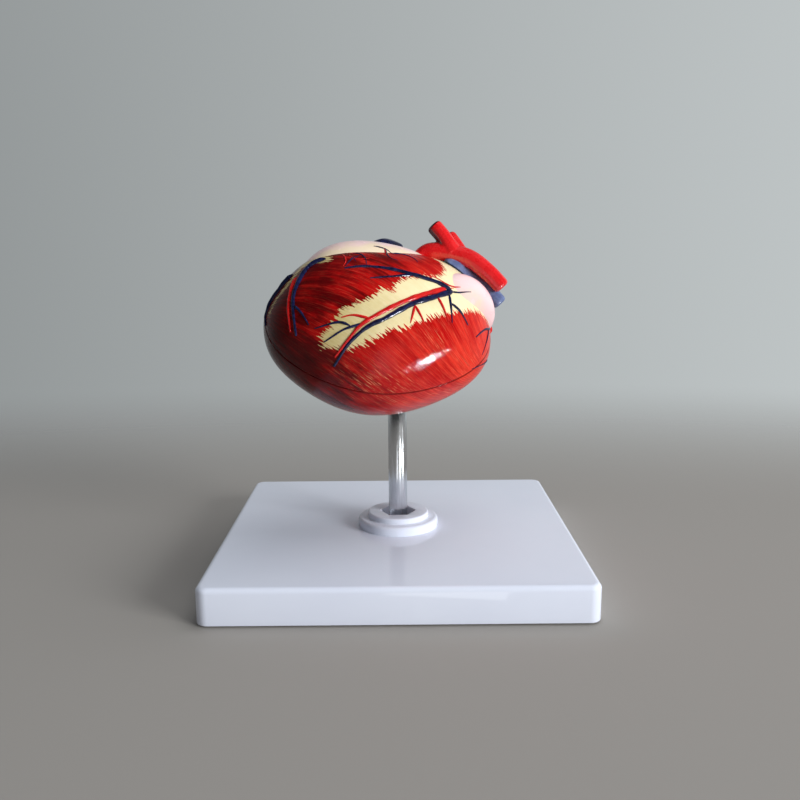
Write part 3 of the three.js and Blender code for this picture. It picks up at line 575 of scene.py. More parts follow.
# Paint of the casting: brush strokes in reds over a cream ground, under a gloss lacquer.
# The strokes run from the base towards the apex and curl forward, as the muscle does.
fat_edge = [
    (0.318, 183), (0.366, 164), (0.418, 155), (0.448, 151), (0.464, 146), (0.495, 144), (0.502, 139),
    (0.539, 134), (0.565, 131.5), (0.6, 129.5), (0.625, 127), (0.645, 118), (0.635, 103), (0.61, 92),
    (0.62, 80), (0.7, 70), (0.85, 60), (0.95, 80), (0.95, 110), (0.905, 126), (0.87, 130), (0.8, 138), (0.748, 144),
    (0.718, 149), (0.668, 154), (0.619, 158), (0.58, 163), (0.544, 168), (0.501, 172), (0.467, 176),
    (0.453, 180), (0.421, 186), (0.377, 190), (0.334, 191), (0.323, 187),
]
fat_bands = (
    (((0.25, 100), (0.2, 116), (0.15, 128), (0.11, 140), (0.09, 160)), 1.3, 0.4),
    (((0.31, 114), (0.27, 106), (0.24, 98)), 2.2, 1.6),
    (((0.74, 352), (0.755, 320), (0.76, 290), (0.763, 272)), 5.5, 1.5),
    (((0.74, 352), (0.73, 380), (0.72, 410), (0.66, 435)), 5.5, 6.5),
    (((0.72, 338), (0.6, 324), (0.45, 315), (0.3, 304), (0.2, 288)), 4.5, 1.2),
)


# Places, each s, turn and how far it spreads in both, where pale orange hairs lie thickest
streak_places = (
    (0.5, 210, 0.08, 12, 1), (0.63, 176, 0.06, 9, 0.6), (0.44, 203, 0.08, 12, 0.35), (0.75, 195, 0.1, 20, 0.25),
    (0.6, 226, 0.25, 5, 0.4),
)


def dots_along(route, step=0.7, closed=False):
    """Points on the casting every so many mm along a route of s and turn, and the share of the way."""
    stops = list(route) + ([route[0]] if closed else [])
    found = []
    for (s0, t0), (s1, t1) in zip(stops, stops[1:]):
        gap = np.linalg.norm(casting(s1, t1) - casting(s0, t0)) / MM
        count = max(2, int(math.ceil(gap / step)))
        found += [(s0 + (s1 - s0) * k / count, t0 + (t1 - t0) * k / count) for k in range(count)]
    found.append(stops[-1])
    stops = np.array(found)
    return casting(stops[:, 0], stops[:, 1]), np.linspace(0, 1, len(stops))


def nearest(points, dots):
    """How far each point is from the nearest dot in mm, and which dot that is."""
    tree = kdtree.KDTree(len(dots))
    for index, dot in enumerate(dots):
        tree.insert(dot, index)
    tree.balance()
    hits = [tree.find(point) for point in points]
    return np.array([hit[2] for hit in hits]) / MM, np.array([hit[1] for hit in hits])


def within(s, turn, outline):
    """Whether each s and turn is inside a closed outline."""
    inside = np.zeros(len(s), bool)
    for (s0, t0), (s1, t1) in zip(outline, outline[1:] + outline[:1]):
        crosses = (t0 > turn) != (t1 > turn)
        level = s0 + (s1 - s0) * (turn - t0) / ((t1 - t0) or 1e-9)
        inside ^= crosses & (s < level)
    return inside


def write_values(mesh, name, values):
    """Keeps a number or a vector for each vertex, for the paint to read."""
    kind, key = ("FLOAT", "value") if values.ndim == 1 else ("FLOAT_VECTOR", "vector")
    kept = mesh.attributes.new(name, kind, "POINT")
    kept.data.foreach_set(key, values.astype(np.float32).ravel())


def mark_for_paint(mesh):
    """Writes the run of the brush, the edge of the fat, the depth of red with painted shade and the painted shade of
    the fat for each vertex.
    """
    points = corners_of(mesh)
    s, turn = station(points)
    curl = np.radians(turn - 87 * s - 250 * np.maximum(0, s - 0.35) ** 2)
    strokes = np.stack([36 * np.cos(curl), 36 * np.sin(curl), 98 * s], -1)
    write_values(mesh, "strokes", strokes)
    dots, _ = dots_along(fat_edge, closed=True)
    gap, _ = nearest(points, dots)
    fat = np.where(within(s, turn, fat_edge), gap, -gap)
    for route, start, end in fat_bands:
        dots, share = dots_along(route)
        gap, index = nearest(points, dots)
        fat = np.maximum(fat, start + (end - start) * share[index] - gap)
    write_values(mesh, "fat", fat)
    # Depth of red: deeper towards the apex and the upper back, partly the paint's own red and partly painted shade,
    # with more painted shade under the apex.
    bright = 0.05 + 1.25 * (s - 0.2) + 0.19 * np.sin(np.radians(turn - 150))
    shade = np.clip((0.58 - s) / 0.3, 0, 1) * np.clip((turn - 180) / 35, 0, 1) * np.clip((300 - turn) / 40, 0, 1)
    write_values(mesh, "bright", np.clip(bright - 0.6 * shade, -0.5, 1))
    streaky = np.full(len(s), 0.04)
    for near_s, near_turn, wide_s, wide_turn, share in streak_places:
        spread = ((s - near_s) / wide_s) ** 2 + ((turn - near_turn) / wide_turn) ** 2
        streaky = np.maximum(streaky, share * np.exp(-spread))
    write_values(mesh, "streaky", streaky)
    # Painted shade on the fat: it turns darker olive towards the apex.
    write_values(mesh, "fat_painted_shade", np.clip((0.56 - s) / 0.26, 0, 1))
    seam = (points - np.array(parting_point)) @ np.array(parting_normal) / MM
    write_values(mesh, "seam", np.abs(seam))


def read_value(nodes, name, vector=False):
    """A number or a vector that the mesh keeps."""
    kept = nodes.new("ShaderNodeAttribute")
    kept.attribute_name = name
    return kept.outputs["Vector" if vector else "Fac"]


def stroke_noise(nodes, links, width, length, shift, detail=2.0, rough=0.5):
    """Noise in strokes so many mm wide and long, along the run of the brush."""
    stretch = nodes.new("ShaderNodeMapping")
    stretch.inputs["Scale"].default_value = (1 / width, 1 / width, 1 / length)
    stretch.inputs["Location"].default_value = (shift, -shift, shift)
    links.new(read_value(nodes, "strokes", True), stretch.inputs["Vector"])
    noise = nodes.new("ShaderNodeTexNoise")
    noise.inputs["Scale"].default_value = 1
    noise.inputs["Detail"].default_value = detail
    noise.inputs["Roughness"].default_value = rough
    links.new(stretch.outputs["Vector"], noise.inputs["Vector"])
    return noise.outputs["Fac"]


def compute(nodes, links, way, first, second):
    """A sum, product or the like of two values, each a number or a socket."""
    sum_node = nodes.new("ShaderNodeMath")
    sum_node.operation = way
    for socket, value in zip(sum_node.inputs, (first, second)):
        if isinstance(value, (int, float)):
            socket.default_value = value
        else:
            links.new(value, socket)
    return sum_node.outputs[0]


muscle, nodes, links, shader = new_paint("painted_muscle")
place = nodes.new("ShaderNodeTexCoord").outputs["Object"]
red_depth_and_painted_shade = read_value(nodes, "bright")
streaky = read_value(nodes, "streaky")
patches = speckle(nodes, links, place, 11, 3, 0.55)
broad = stroke_noise(nodes, links, 2.6, 13, 3, 3, 0.55)
middle = stroke_noise(nodes, links, 0.85, 6, 11, 3, 0.6)
fine = stroke_noise(nodes, links, 0.34, 4.5, 23, 2, 0.5)
tone = compute(nodes, links, "ADD", red_depth_and_painted_shade, remap(nodes, links, patches, 0.3, 0.7, -0.2, 0.2))
tone = compute(nodes, links, "ADD", tone, remap(nodes, links, broad, 0.3, 0.7, -0.24, 0.24))
reds = layer(nodes, links, remap(nodes, links, tone, 0.0, 0.5, soft=True), linear(96, 7, 10), linear(184, 17, 16))
reds = layer(nodes, links, remap(nodes, links, tone, 0.45, 1.15, soft=True), reds, linear(226, 52, 36))
# Near-black red where the tone is lowest, towards the apex: painted shade.
reds = layer(nodes, links, remap(nodes, links, tone, -0.5, 0.1, 0.8, 0, soft=True), reds, linear(46, 5, 7))
reds = layer(nodes, links, remap(nodes, links, middle, 0.5, 0.7, 0, 0.34), reds, linear(138, 8, 11))
hair_share = compute(
    nodes, links, "MULTIPLY", remap(nodes, links, fine, 0.54, 0.66), remap(nodes, links, tone, 0.1, 0.9, 0.04, 0.5)
)
reds = layer(nodes, links, hair_share, reds, linear(238, 98, 74))
streaks = remap(nodes, links, stroke_noise(nodes, links, 0.36, 3.4, 41, 2, 0.5), 0.58, 0.7)
reds = layer(nodes, links, compute(nodes, links, "MULTIPLY", streaks, streaky), reds, linear(240, 168, 118))
hairs = remap(nodes, links, stroke_noise(nodes, links, 0.3, 6, 57, 2, 0.5), 0.62, 0.72, 0, 0.4)
reds = layer(nodes, links, hairs, reds, linear(84, 6, 12))
teeth = stroke_noise(nodes, links, 0.8, 3.6, 71, 2, 0.6)
fat_line = compute(nodes, links, "ADD", read_value(nodes, "fat"), remap(nodes, links, teeth, 0.28, 0.72, -2.3, 2.3))
fat_share = remap(nodes, links, fat_line, -0.1, 0.1)
# The fat's painted shade: cream turning darker olive towards the apex, with random tone.
fat_painted_shade = compute(
    nodes, links, "ADD", read_value(nodes, "fat_painted_shade"),
    remap(nodes, links, speckle(nodes, links, place, 8, 3), 0.3, 0.7, -0.2, 0.2),
)
creams = layer(nodes, links, fat_painted_shade, linear(242, 224, 176), linear(206, 184, 116))
scumble = remap(nodes, links, middle, 0.45, 0.7, 0, 0.25)
creams = layer(nodes, links, scumble, creams, linear(248, 236, 202))
painted = layer(nodes, links, fat_share, reds, creams)
# Painted shade: a dark red line along the parting seam, in its groove.
seam_painted_shade = remap(nodes, links, read_value(nodes, "seam"), 0.25, 0.6, 0.7, 0)
painted = layer(nodes, links, seam_painted_shade, painted, linear(84, 10, 12))
links.new(painted, shader.inputs["Base Color"])
shader.inputs["Specular IOR Level"].default_value = 0.16
links.new(remap(nodes, links, middle, 0.3, 0.7, 0.04, 0.09), shader.inputs["Roughness"])
brushed = compute(nodes, links, "ADD", middle, compute(nodes, links, "MULTIPLY", fine, 0.6))
brushed = compute(nodes, links, "ADD", brushed, compute(nodes, links, "MULTIPLY", broad, 0.8))
relief(nodes, links, shader, brushed, 0.13, 0.8)

section, nodes, links, shader = new_paint("sectioned_muscle")
place = nodes.new("ShaderNodeTexCoord").outputs["Object"]
grain = speckle(nodes, links, place, 3, 4, 0.6)
flesh = layer(nodes, links, remap(nodes, links, grain, 0.35, 0.65), linear(178, 52, 44), linear(204, 84, 68))
pale = remap(nodes, links, speckle(nodes, links, place, 0.7, 3, 0.6), 0.56, 0.64, 0, 0.7)
flesh = layer(nodes, links, pale, flesh, linear(224, 138, 116))
links.new(flesh, shader.inputs["Base Color"])
shader.inputs["Specular IOR Level"].default_value = 0.25
links.new(remap(nodes, links, grain, 0.3, 0.7, 0.34, 0.48), shader.inputs["Roughness"])
relief(nodes, links, shader, speckle(nodes, links, place, 0.9, 3), 0.06, 0.4)

peg_places = ((-45, -5), (6, 27), (34.5, -3.5))
for name, node, body, side in (
    ("back_casting", "back_half", "back_section", -1),
    ("front_casting", "front_half", "front_section", 1),
):
    half = new_egg(name)
    half.data.materials.append(muscle)
    half.data.materials.append(section)
    bpy.ops.object.mode_set(mode="EDIT")
    bpy.ops.mesh.select_all(action="SELECT")
    bpy.ops.mesh.bisect(
        plane_co=parting_point + parting_normal * (0.3 * MM if side > 0 else 0),
        plane_no=parting_normal, use_fill=True, clear_inner=side > 0, clear_outer=side < 0,
    )
    bpy.ops.mesh.bevel(offset=0.35 * MM, segments=3, affect="EDGES")
    bpy.ops.object.mode_set(mode="OBJECT")
    for face in half.data.polygons:
        flat = abs(face.normal.dot(parting_normal)) > 0.999 and len(face.vertices) > 8
        face.material_index = 1 if flat else 0
    tool = hollow.copy()
    tool.data = hollow.data.copy()
    bpy.context.collection.objects.link(tool)
    combine(half, tool, "DIFFERENCE")
    for spot in peg_places:
        reach = (-7.02, 1, 1.9) if side < 0 else (-1, 5.6, 1.68)
        combine(half, in_parting_frame(new_rod("hole", reach[2], reach[0], reach[1], spot, 40)), "DIFFERENCE")
    if side < 0:
        combine(half, new_rod("socket", 6.5, 40, 77.42, sides=96), "DIFFERENCE")
    smooth_round(half, 40)
    mark_for_paint(half.data)
    put_in_place(half, body, [node])
bpy.data.objects.remove(hollow)

# Locating pegs: three turned steel pins, glued into the back half.
# Their chamfered tips enter holes in the front half.
for number, spot in enumerate(peg_places, 1):
    pin = new_rod(f"locating_pin_{number}", 1.6, -7, 5, spot, 48)
    shape_edges(pin, lambda p: p.z > 4.99, 0.6, 4)
    smooth_round(pin, 30)
    in_parting_frame(pin)
    put_in_place(pin, "back_section", [f"locating_peg_{number}"], [zinc])

# Valves: cast in cream resin, a ring in each neck with a funnel of thin leaflets, two on the left
# and three on the right. In the back half fine cords tie them to two papillary muscles.
leaflet, nodes, links, shader = new_paint("cream_leaflet")
place = nodes.new("ShaderNodeTexCoord").outputs["Object"]
milk = speckle(nodes, links, place, 2.4, 3)
ivories = layer(nodes, links, remap(nodes, links, milk, 0.35, 0.65), linear(226, 202, 170), linear(240, 222, 196))
links.new(ivories, shader.inputs["Base Color"])
links.new(remap(nodes, links, milk, 0.3, 0.7, 0.28, 0.4), shader.inputs["Roughness"])
relief(nodes, links, shader, speckle(nodes, links, place, 0.6, 3), 0.08, 0.4)
neck_along, ring_reach, ring_thick, ring_bore = 11, 11.4, 1.8, 6
leaflet_length, leaflet_mouth, leaflet_thick = 8.6, 3.9, 0.55
cord_leans = (-70, -45, -22, -9)


def leaflet_point(share, angle, cusps):
    """A point of a leaflet in mm, from the ring at 0 to its free edge at 1, with X along the heart."""
    scallop = np.abs(np.sin(cusps * (angle - math.pi / 2) / 2 + (cusps - 1) * math.pi / 4))
    length = leaflet_length * (0.5 + 0.5 * scallop ** 0.7)
    radius = ring_bore + 0.2 + (leaflet_mouth - ring_bore) * share ** 1.3 * (0.75 + 0.25 * scallop)
    radius = radius + 0.75 * np.sin(np.pi * share) * scallop + 0.18 * np.sin(9 * angle) * share
    return np.stack([0.9 - share * length, radius * np.cos(angle), radius * np.sin(angle)], -1)


def new_leaflets(cusps):
    """A funnel of thin leaflets round the X axis, from a grid that is rolled up."""
    bpy.ops.object.select_all(action="DESELECT")
    bpy.ops.mesh.primitive_grid_add(x_subdivisions=120, y_subdivisions=14, size=2)
    funnel = bpy.context.active_object
    flat = corners_of(funnel.data)
    spots = leaflet_point((flat[:, 1] + 1) / 2, np.pi * (flat[:, 0] + 1), cusps)
    funnel.data.vertices.foreach_set("co", (spots * MM).ravel())
    funnel.data.update()
    bpy.ops.object.mode_set(mode="EDIT")
    bpy.ops.mesh.select_all(action="SELECT")
    bpy.ops.mesh.remove_doubles(threshold=0.02 * MM)
    bpy.ops.mesh.normals_make_consistent(inside=False)
    bpy.ops.object.mode_set(mode="OBJECT")
    thick = funnel.modifiers.new("thick", "SOLIDIFY")
    thick.thickness = leaflet_thick * MM
    thick.offset = 0
    bpy.ops.object.modifier_apply(modifier="thick")
    return funnel


def join_pieces(pieces):
    """Makes one object of several, with their materials."""
    bpy.ops.object.select_all(action="DESELECT")
    for piece in pieces:
        piece.select_set(True)
    bpy.context.view_layer.objects.active = pieces[0]
    bpy.ops.object.join()
    return pieces[0]


def new_tube(name, runs):
    """Round bars along runs of points in metres, each with its radius in mm at every point."""
    data = bpy.data.curves.new(name, "CURVE")
    data.dimensions = "3D"
    data.bevel_depth = MM
    data.bevel_resolution = 4
    data.use_fill_caps = True
    for points, radii in runs:
        line = data.splines.new("POLY")
        line.points.add(len(points) - 1)
        for knot, point, radius in zip(line.points, points, radii):
            knot.co = (*point, 1)
            knot.radius = radius
    tube = bpy.data.objects.new(name, data)
    bpy.context.collection.objects.link(tube)
    bpy.ops.object.select_all(action="DESELECT")
    tube.select_set(True)
    bpy.context.view_layer.objects.active = tube
    bpy.ops.object.convert(target="MESH")
    return bpy.context.active_object


for valve, neck_across, cusps, (centre, room_half, _) in (
    ("mitral", -16.5, 2, chambers[0]), ("tricuspid", 10, 3, chambers[1]),
):
    for side, half_name in ((-1, "back"), (1, "front")):
        ring = new_rod("ring", ring_reach, 0, ring_thick, sides=96)
        combine(ring, new_rod("bore", ring_bore, -1, ring_thick + 1, sides=96), "DIFFERENCE")
        shape_edges(ring, lambda p: math.hypot(p.x, p.y) < ring_bore + 0.1, 0.6, 5)
        ring.data.transform(Matrix.Rotation(math.radians(90), 4, "Y"))
        funnel = join_pieces([ring, new_leaflets(cusps)])
        funnel.name = f"{valve}_leaflets_{half_name}"
        funnel.data.transform(Matrix.Translation((neck_along * MM, neck_across * MM, 0)))
        edit_mesh(funnel, "VERT")
        bpy.ops.mesh.select_all(action="SELECT")
        bpy.ops.mesh.bisect(
            plane_co=(0, 0, (0.45 if side > 0 else -0.15) * MM), plane_no=(0, 0, 1), use_fill=True,
            clear_inner=side > 0, clear_outer=side < 0,
        )
        bpy.ops.object.mode_set(mode="OBJECT")
        funnel.data.materials.clear()
        funnel.data.materials.append(leaflet)
        for face in funnel.data.polygons:
            face.material_index = 0
        if side < 0:
            runs, horns = [], []
            for way in (-1, 1):
                foot, tip = (
                    np.array((centre[0] + along, centre[1] + way * share * room_half[1], -deep * room_half[2]))
                    for along, share, deep in ((-3, 0.5, 0.97), (5.5, 0.42, 0.46))
                )
                share = np.array((0, 0.25, 0.5, 0.75, 0.93, 0.985, 1))
                path = foot + np.outer(share, tip - foot)
                horns.append((path * MM, np.array((3.4, 2.8, 2.4, 2.1, 1.75, 1.2, 0.5))))
                for lean in cord_leans:
                    angle = math.radians(lean if way > 0 else 180 - lean)
                    hold = leaflet_point(np.array(0.96), np.array(angle), cusps) + (neck_along, neck_across, 0)
                    share = np.linspace(0, 1, 9)
                    path = tip + np.outer(share, hold - tip) - np.outer(np.sin(np.pi * share), (0, 0, 0.35))
                    runs.append((path * MM, 0.3 + 0.22 * (2 * share - 1) ** 4))
            strings = new_tube("strings", runs)
            strings.data.materials.append(leaflet)
            muscles = new_tube("muscles", horns)
            muscles.data.materials.append(lining)
            funnel = join_pieces([funnel, strings, muscles])
        smooth_round(funnel, 50)
        in_parting_frame(funnel)
        put_in_place(funnel, f"{half_name}_section", [f"{valve}_valve_{half_name}"])

# Auricles: two lens-shaped lobes along the top of the front half, cast with it and painted
# a pale pink that runs into the cream of the fat.
auricle_paint, nodes, links, shader = new_paint("auricle_paint")
place = nodes.new("ShaderNodeTexCoord").outputs["Object"]
pink_share = compute(
    nodes, links, "ADD", read_value(nodes, "pink"),
    remap(nodes, links, speckle(nodes, links, place, 6, 3), 0.3, 0.7, -0.22, 0.22),
)
pinks = layer(nodes, links, remap(nodes, links, pink_share, 0.15, 0.85, soft=True), linear(241, 218, 186), linear(247, 210, 208))
pinks = layer(nodes, links, remap(nodes, links, pink_share, 0.9, 1.6, 0, 0.6, soft=True), pinks, linear(226, 160, 172))
links.new(pinks, shader.inputs["Base Color"])
links.new(remap(nodes, links, speckle(nodes, links, place, 3, 2), 0.3, 0.7, 0.18, 0.28), shader.inputs["Roughness"])
relief(nodes, links, shader, speckle(nodes, links, place, 1.6, 3), 0.1, 0.4)
lobes = (
    ("left_lobe", "left_auricle", (0.789, 118), (0.127, 19.3), -7, 4.3),
    ("right_lobe", "right_auricle", (0.42, 84.5), (0.185, 25.5), -6, 2.8),
)


def dome(across, up, level, thickness):
    """Height of a lobe over the casting in mm. It rises softly at the lower left, steeply elsewhere."""
    slow = np.clip(0.5 + 0.5 * (0.8 * up - 0.6 * across), 0, 1)
    return (thickness + 1.1) * level ** (1.15 + 0.9 * slow) - 0.7


for name, node, centre, half, lean, thickness in lobes:
    bpy.ops.object.select_all(action="DESELECT")
    bpy.ops.mesh.primitive_uv_sphere_add(segments=112, ring_count=56, radius=1)
    lobe = bpy.context.active_object
    lobe.name = name
    ball = corners_of(lobe.data)
    reach = np.hypot(ball[:, 0], ball[:, 1])
    way = np.arctan2(ball[:, 1], ball[:, 0])
    across, up = (np.sign(share) * np.abs(share) ** (2 / 2.4) for share in (np.cos(way), np.sin(way)))
    s = centre[0] + half[0] * reach * across
    turn = centre[1] + (half[1] * up + lean * across) * reach
    level = np.abs(ball[:, 2])
    rise = dome(across * reach, up * reach, level, thickness)
    rise = np.where(ball[:, 2] > 0, rise, -0.7 - 0.8 * level)
    lobe.data.vertices.foreach_set("co", casting(s, turn, rise).ravel())
    lobe.data.update()
    bpy.ops.object.mode_set(mode="EDIT")
    bpy.ops.mesh.select_all(action="SELECT")
    bpy.ops.mesh.normals_make_consistent(inside=False)
    bpy.ops.object.mode_set(mode="OBJECT")
    smooth_round(lobe, 60)
    if node == "left_auricle":
        pink = 1.15 + 0.35 * across * reach - 0.6 * up * reach
    else:
        pink = 1.2 - 1.35 * up * reach
    write_values(lobe.data, "pink", pink)
    put_in_place(lobe, "front_section", [node], [auricle_paint])

# Coronary vessels: half-round cords that stand proud of the casting, arteries red and veins navy.
# They are moulded with it and taper towards the apex.
vein_paint, nodes, links, shader = new_paint("vein_paint")
place = nodes.new("ShaderNodeTexCoord").outputs["Object"]
dabs = speckle(nodes, links, place, 1.4, 3, 0.6)
navies = layer(nodes, links, remap(nodes, links, dabs, 0.35, 0.7), linear(15, 17, 42), linear(34, 40, 82))
links.new(navies, shader.inputs["Base Color"])
links.new(remap(nodes, links, dabs, 0.3, 0.7, 0.1, 0.2), shader.inputs["Roughness"])
relief(nodes, links, shader, speckle(nodes, links, place, 0.8, 3), 0.12, 0.5)
artery_paint, nodes, links, shader = new_paint("artery_paint")
place = nodes.new("ShaderNodeTexCoord").outputs["Object"]
dabs = speckle(nodes, links, place, 2.2, 3, 0.6)
scarlets = layer(nodes, links, remap(nodes, links, dabs, 0.35, 0.7), linear(196, 20, 22), linear(224, 34, 30))
links.new(scarlets, shader.inputs["Base Color"])
links.new(remap(nodes, links, dabs, 0.3, 0.7, 0.14, 0.26), shader.inputs["Roughness"])
relief(nodes, links, shader, speckle(nodes, links, place, 1.1, 3), 0.1, 0.4)
VEIN, ARTERY, TWIG, HAIR = 1.2, 1.1, 0.58, 0.34
cords = {
    "great_cardiac_vein": ("front_section", "vein", [
        (VEIN, [(0.668, 137), (0.608, 146), (0.555, 152.5), (0.521, 158.1), (0.479, 165.6), (0.451, 169.8),
                (0.424, 175.9), (0.395, 186), (0.37, 203)]),
        (0.42, [(0.66, 138), (0.69, 135.3), (0.723, 131.7)]),
        (TWIG, [(0.655, 140), (0.664, 150), (0.673, 161)]),
        (TWIG, [(0.662, 147), (0.7, 151), (0.735, 159)]),
    ]),
    "paraconal_artery": ("front_section", "artery", [
        (ARTERY, [(0.643, 137), (0.61, 141.5), (0.573, 146.3), (0.51, 155), (0.43, 169.5), (0.395, 182), (0.368, 196)]),
        (TWIG, [(0.445, 166.5), (0.4, 165.5), (0.369, 168)]),
        (HAIR, [(0.625, 139.7), (0.65, 136), (0.672, 133.2)]),
    ]),
    "apical_vein_branch": ("front_section", "vein", [
        (TWIG, [(0.43, 170), (0.378, 176), (0.331, 187)]),
        (TWIG, [(0.395, 172.5), (0.36, 171.5), (0.299, 178)]),
    ]),
    "septal_artery_branches": ("front_section", "artery", [
        (TWIG, [(0.556, 154), (0.549, 166)]),
        (TWIG, [(0.556, 154), (0.585, 163.5)]),
    ]),
    "diagonal_artery_branch": ("front_section", "artery", [
        (TWIG, [(0.618, 145), (0.64, 152.5), (0.66, 161)]),
    ]),
    "conus_vein": ("front_section", "vein", [
        (0.95, [(0.664, 137), (0.62, 133.6), (0.57, 131.8), (0.5, 128.5), (0.43, 127.5), (0.365, 129.5)]),
        (TWIG, [(0.55, 130.8), (0.49, 134.8), (0.434, 138)]),
    ]),
    "conus_artery": ("front_section", "artery", [
        (0.34, [(0.69, 130.9), (0.658, 132.5), (0.634, 131.1), (0.611, 129.2), (0.572, 128)]),
    ]),
    "marginal_vein": ("front_section", "vein", [
        (1.1, [(0.31, 113), (0.255, 116), (0.215, 141), (0.217, 163), (0.241, 188)]),
        (TWIG, [(0.215, 158), (0.248, 166.5), (0.278, 176)]),
    ]),
    "marginal_artery": ("front_section", "artery", [
        (0.85, [(0.212, 121), (0.196, 143), (0.199, 165), (0.218, 186)]),
    ]),
    "apex_vein": ("front_section", "vein", [
        (1.15, [(0.2, 106), (0.14, 112), (0.085, 124), (0.05, 165), (0.07, 198)]),
    ]),
    "obtuse_vein_branches": ("front_section", "vein", [
        (TWIG, [(0.885, 132), (0.87, 142), (0.834, 151.3), (0.78, 166)]),
        (0.36, [(0.87, 142), (0.858, 163.7), (0.837, 184)]),
    ]),
    "middle_cardiac_vein": ("back_section", "vein", [
        (VEIN, [(0.72, 338), (0.6, 326), (0.45, 317), (0.3, 306), (0.2, 290)]),
        (TWIG, [(0.5, 320.5), (0.44, 302), (0.36, 290)]),
    ]),
    "subsinuosal_artery": ("back_section", "artery", [
        (ARTERY, [(0.7, 329), (0.6, 320), (0.45, 311), (0.31, 299), (0.2, 279)]),
    ]),
    "coronary_sinus": ("back_section", "vein", [
        (VEIN, [(0.735, 352), (0.755, 320), (0.76, 290), (0.763, 270)]),
    ]),
    "right_vein_tufts": ("front_section", "vein", [
        (HAIR, [(0.386, 110.4), (0.398, 110.6), (0.411, 113.1), (0.421, 119), (0.423, 125.1)]),
        (HAIR, [(0.393, 115.7), (0.379, 121), (0.367, 127.2)]),
        (0.22, [(0.407, 113.1), (0.391, 118.9), (0.396, 122.6)]),
        (0.34, [(0.446, 100.5), (0.466, 101.2), (0.482, 102.5), (0.496, 105.5)]),
        (HAIR, [(0.478, 101.5), (0.481, 110.6), (0.49, 114.9), (0.507, 117)]),
        (HAIR, [(0.492, 105.9), (0.517, 105), (0.54, 107.1), (0.555, 111), (0.562, 115.5)]),
    ]),
    "right_artery_tufts": ("front_section", "artery", [
        (HAIR, [(0.357, 110.5), (0.365, 116.5), (0.367, 122.5), (0.36, 127)]),
        (0.24, [(0.375, 112.2), (0.385, 117.1), (0.403, 119.3), (0.431, 117.7)]),
        (HAIR, [(0.474, 102), (0.48, 109.4)]),
    ]),
    "left_margin_artery": ("front_section", "artery", [
        (HAIR, [(0.878, 137), (0.866, 152), (0.854, 168.4)]),
    ]),
    "back_margin_vein": ("back_section", "vein", [
        (0.34, [(0.925, 210), (0.88, 206), (0.837, 203), (0.79, 203)]),
    ]),
}


def smooth_route(stops):
    """Points on a smooth curve through the stops, with the share of the way at each."""
    stops = np.array(stops, float)
    knots = np.linspace(0, 1, len(stops))
    fine_share = np.linspace(0, 1, 40 * (len(stops) - 1) + 1)
    curve = np.stack([half_size(stops[:, axis], fine_share) for axis in range(stops.shape[1])], -1)
    return curve, fine_share


def over_lobes(s, turn):
    """How far the nearest lobe stands over the casting in mm, and 0 where there is none."""
    height = np.zeros(len(s))
    for _, _, centre, half, lean, thickness in lobes:
        across = (s - centre[0]) / half[0]
        up = (turn - centre[1] - lean * across) / half[1]
        reach = (np.abs(across) ** 2.4 + np.abs(up) ** 2.4) ** (1 / 2.4)
        level = np.sqrt(np.clip(1 - reach**2, 0, 1))
        height = np.maximum(height, dome(across, up, level, thickness))
    return height


for node, (body, kind, routes) in cords.items():
    runs = []
    for radius, stops in routes:
        curve, share = smooth_route(stops)
        path = casting(curve[:, 0], curve[:, 1], 0.1)
        length = np.concatenate([[0], np.cumsum(np.linalg.norm(np.diff(path, axis=0), axis=1))]) / MM
        count = max(6, int(length[-1] / 0.9))
        spaced = np.interp(np.linspace(0, length[-1], count), length, share)
        spots = [np.interp(spaced, share, curve[:, axis]) for axis in (0, 1)]
        reach = np.linspace(0, length[-1], count)
        wander = 1 + 0.09 * np.sin(reach / 1.9) + 0.05 * np.sin(reach / 0.83 + 1)
        taper = (1 - 0.6 * (reach / length[-1]) ** 1.8) * np.minimum(1, 0.35 + reach / 3)
        thick = radius * taper * wander
        runs.append((casting(*spots, over_lobes(*spots) + 0.12 * thick), thick))
    cord = new_tube(f"{node}_cord", runs)
    smooth_round(cord, 60)
    replaced = [node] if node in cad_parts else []
    put_in_place(cord, body, replaced, [vein_paint if kind == "vein" else artery_paint])

# Great vessels: the stumps of the large arteries and veins at the base, cast with the halves.
# They flow into each other where they branch, and their cut ends are painted dark; painted shade darkens a branch's
# left flank and the pulmonary root.
aorta_paint, nodes, links, shader = new_paint("aorta_paint")
place = nodes.new("ShaderNodeTexCoord").outputs["Object"]
dabs = speckle(nodes, links, place, 4, 3, 0.6)
crimsons = layer(nodes, links, remap(nodes, links, dabs, 0.35, 0.7), linear(216, 14, 20), linear(232, 30, 32))
# Dark red where cut is high: the painted dark cut ends of the branches, and painted shade on the brachiocephalic
# branch's left flank.
crimsons = layer(nodes, links, remap(nodes, links, read_value(nodes, "cut"), 0.2, 0.8), crimsons, linear(66, 12, 20))
links.new(crimsons, shader.inputs["Base Color"])
shader.inputs["Specular IOR Level"].default_value = 0.8
links.new(remap(nodes, links, dabs, 0.3, 0.7, 0.24, 0.3), shader.inputs["Roughness"])
relief(nodes, links, shader, speckle(nodes, links, place, 2.2, 2), 0.05, 0.3)
blue_grey, nodes, links, shader = new_paint("pulmonary_paint")
place = nodes.new("ShaderNodeTexCoord").outputs["Object"]
dabs = speckle(nodes, links, place, 3, 3, 0.6)
slates = layer(nodes, links, remap(nodes, links, dabs, 0.35, 0.7), linear(88, 100, 140), linear(114, 128, 166))
# Painted shade: near-navy on the pulmonary artery's root, where it meets the casting.
root_painted_shade = remap(nodes, links, read_value(nodes, "height"), 0.5, 1, 1, 0)
slates = layer(nodes, links, root_painted_shade, slates, linear(18, 20, 42))
links.new(slates, shader.inputs["Base Color"])
links.new(remap(nodes, links, dabs, 0.3, 0.7, 0.22, 0.34), shader.inputs["Roughness"])
relief(nodes, links, shader, speckle(nodes, links, place, 1.3, 3), 0.1, 0.4)
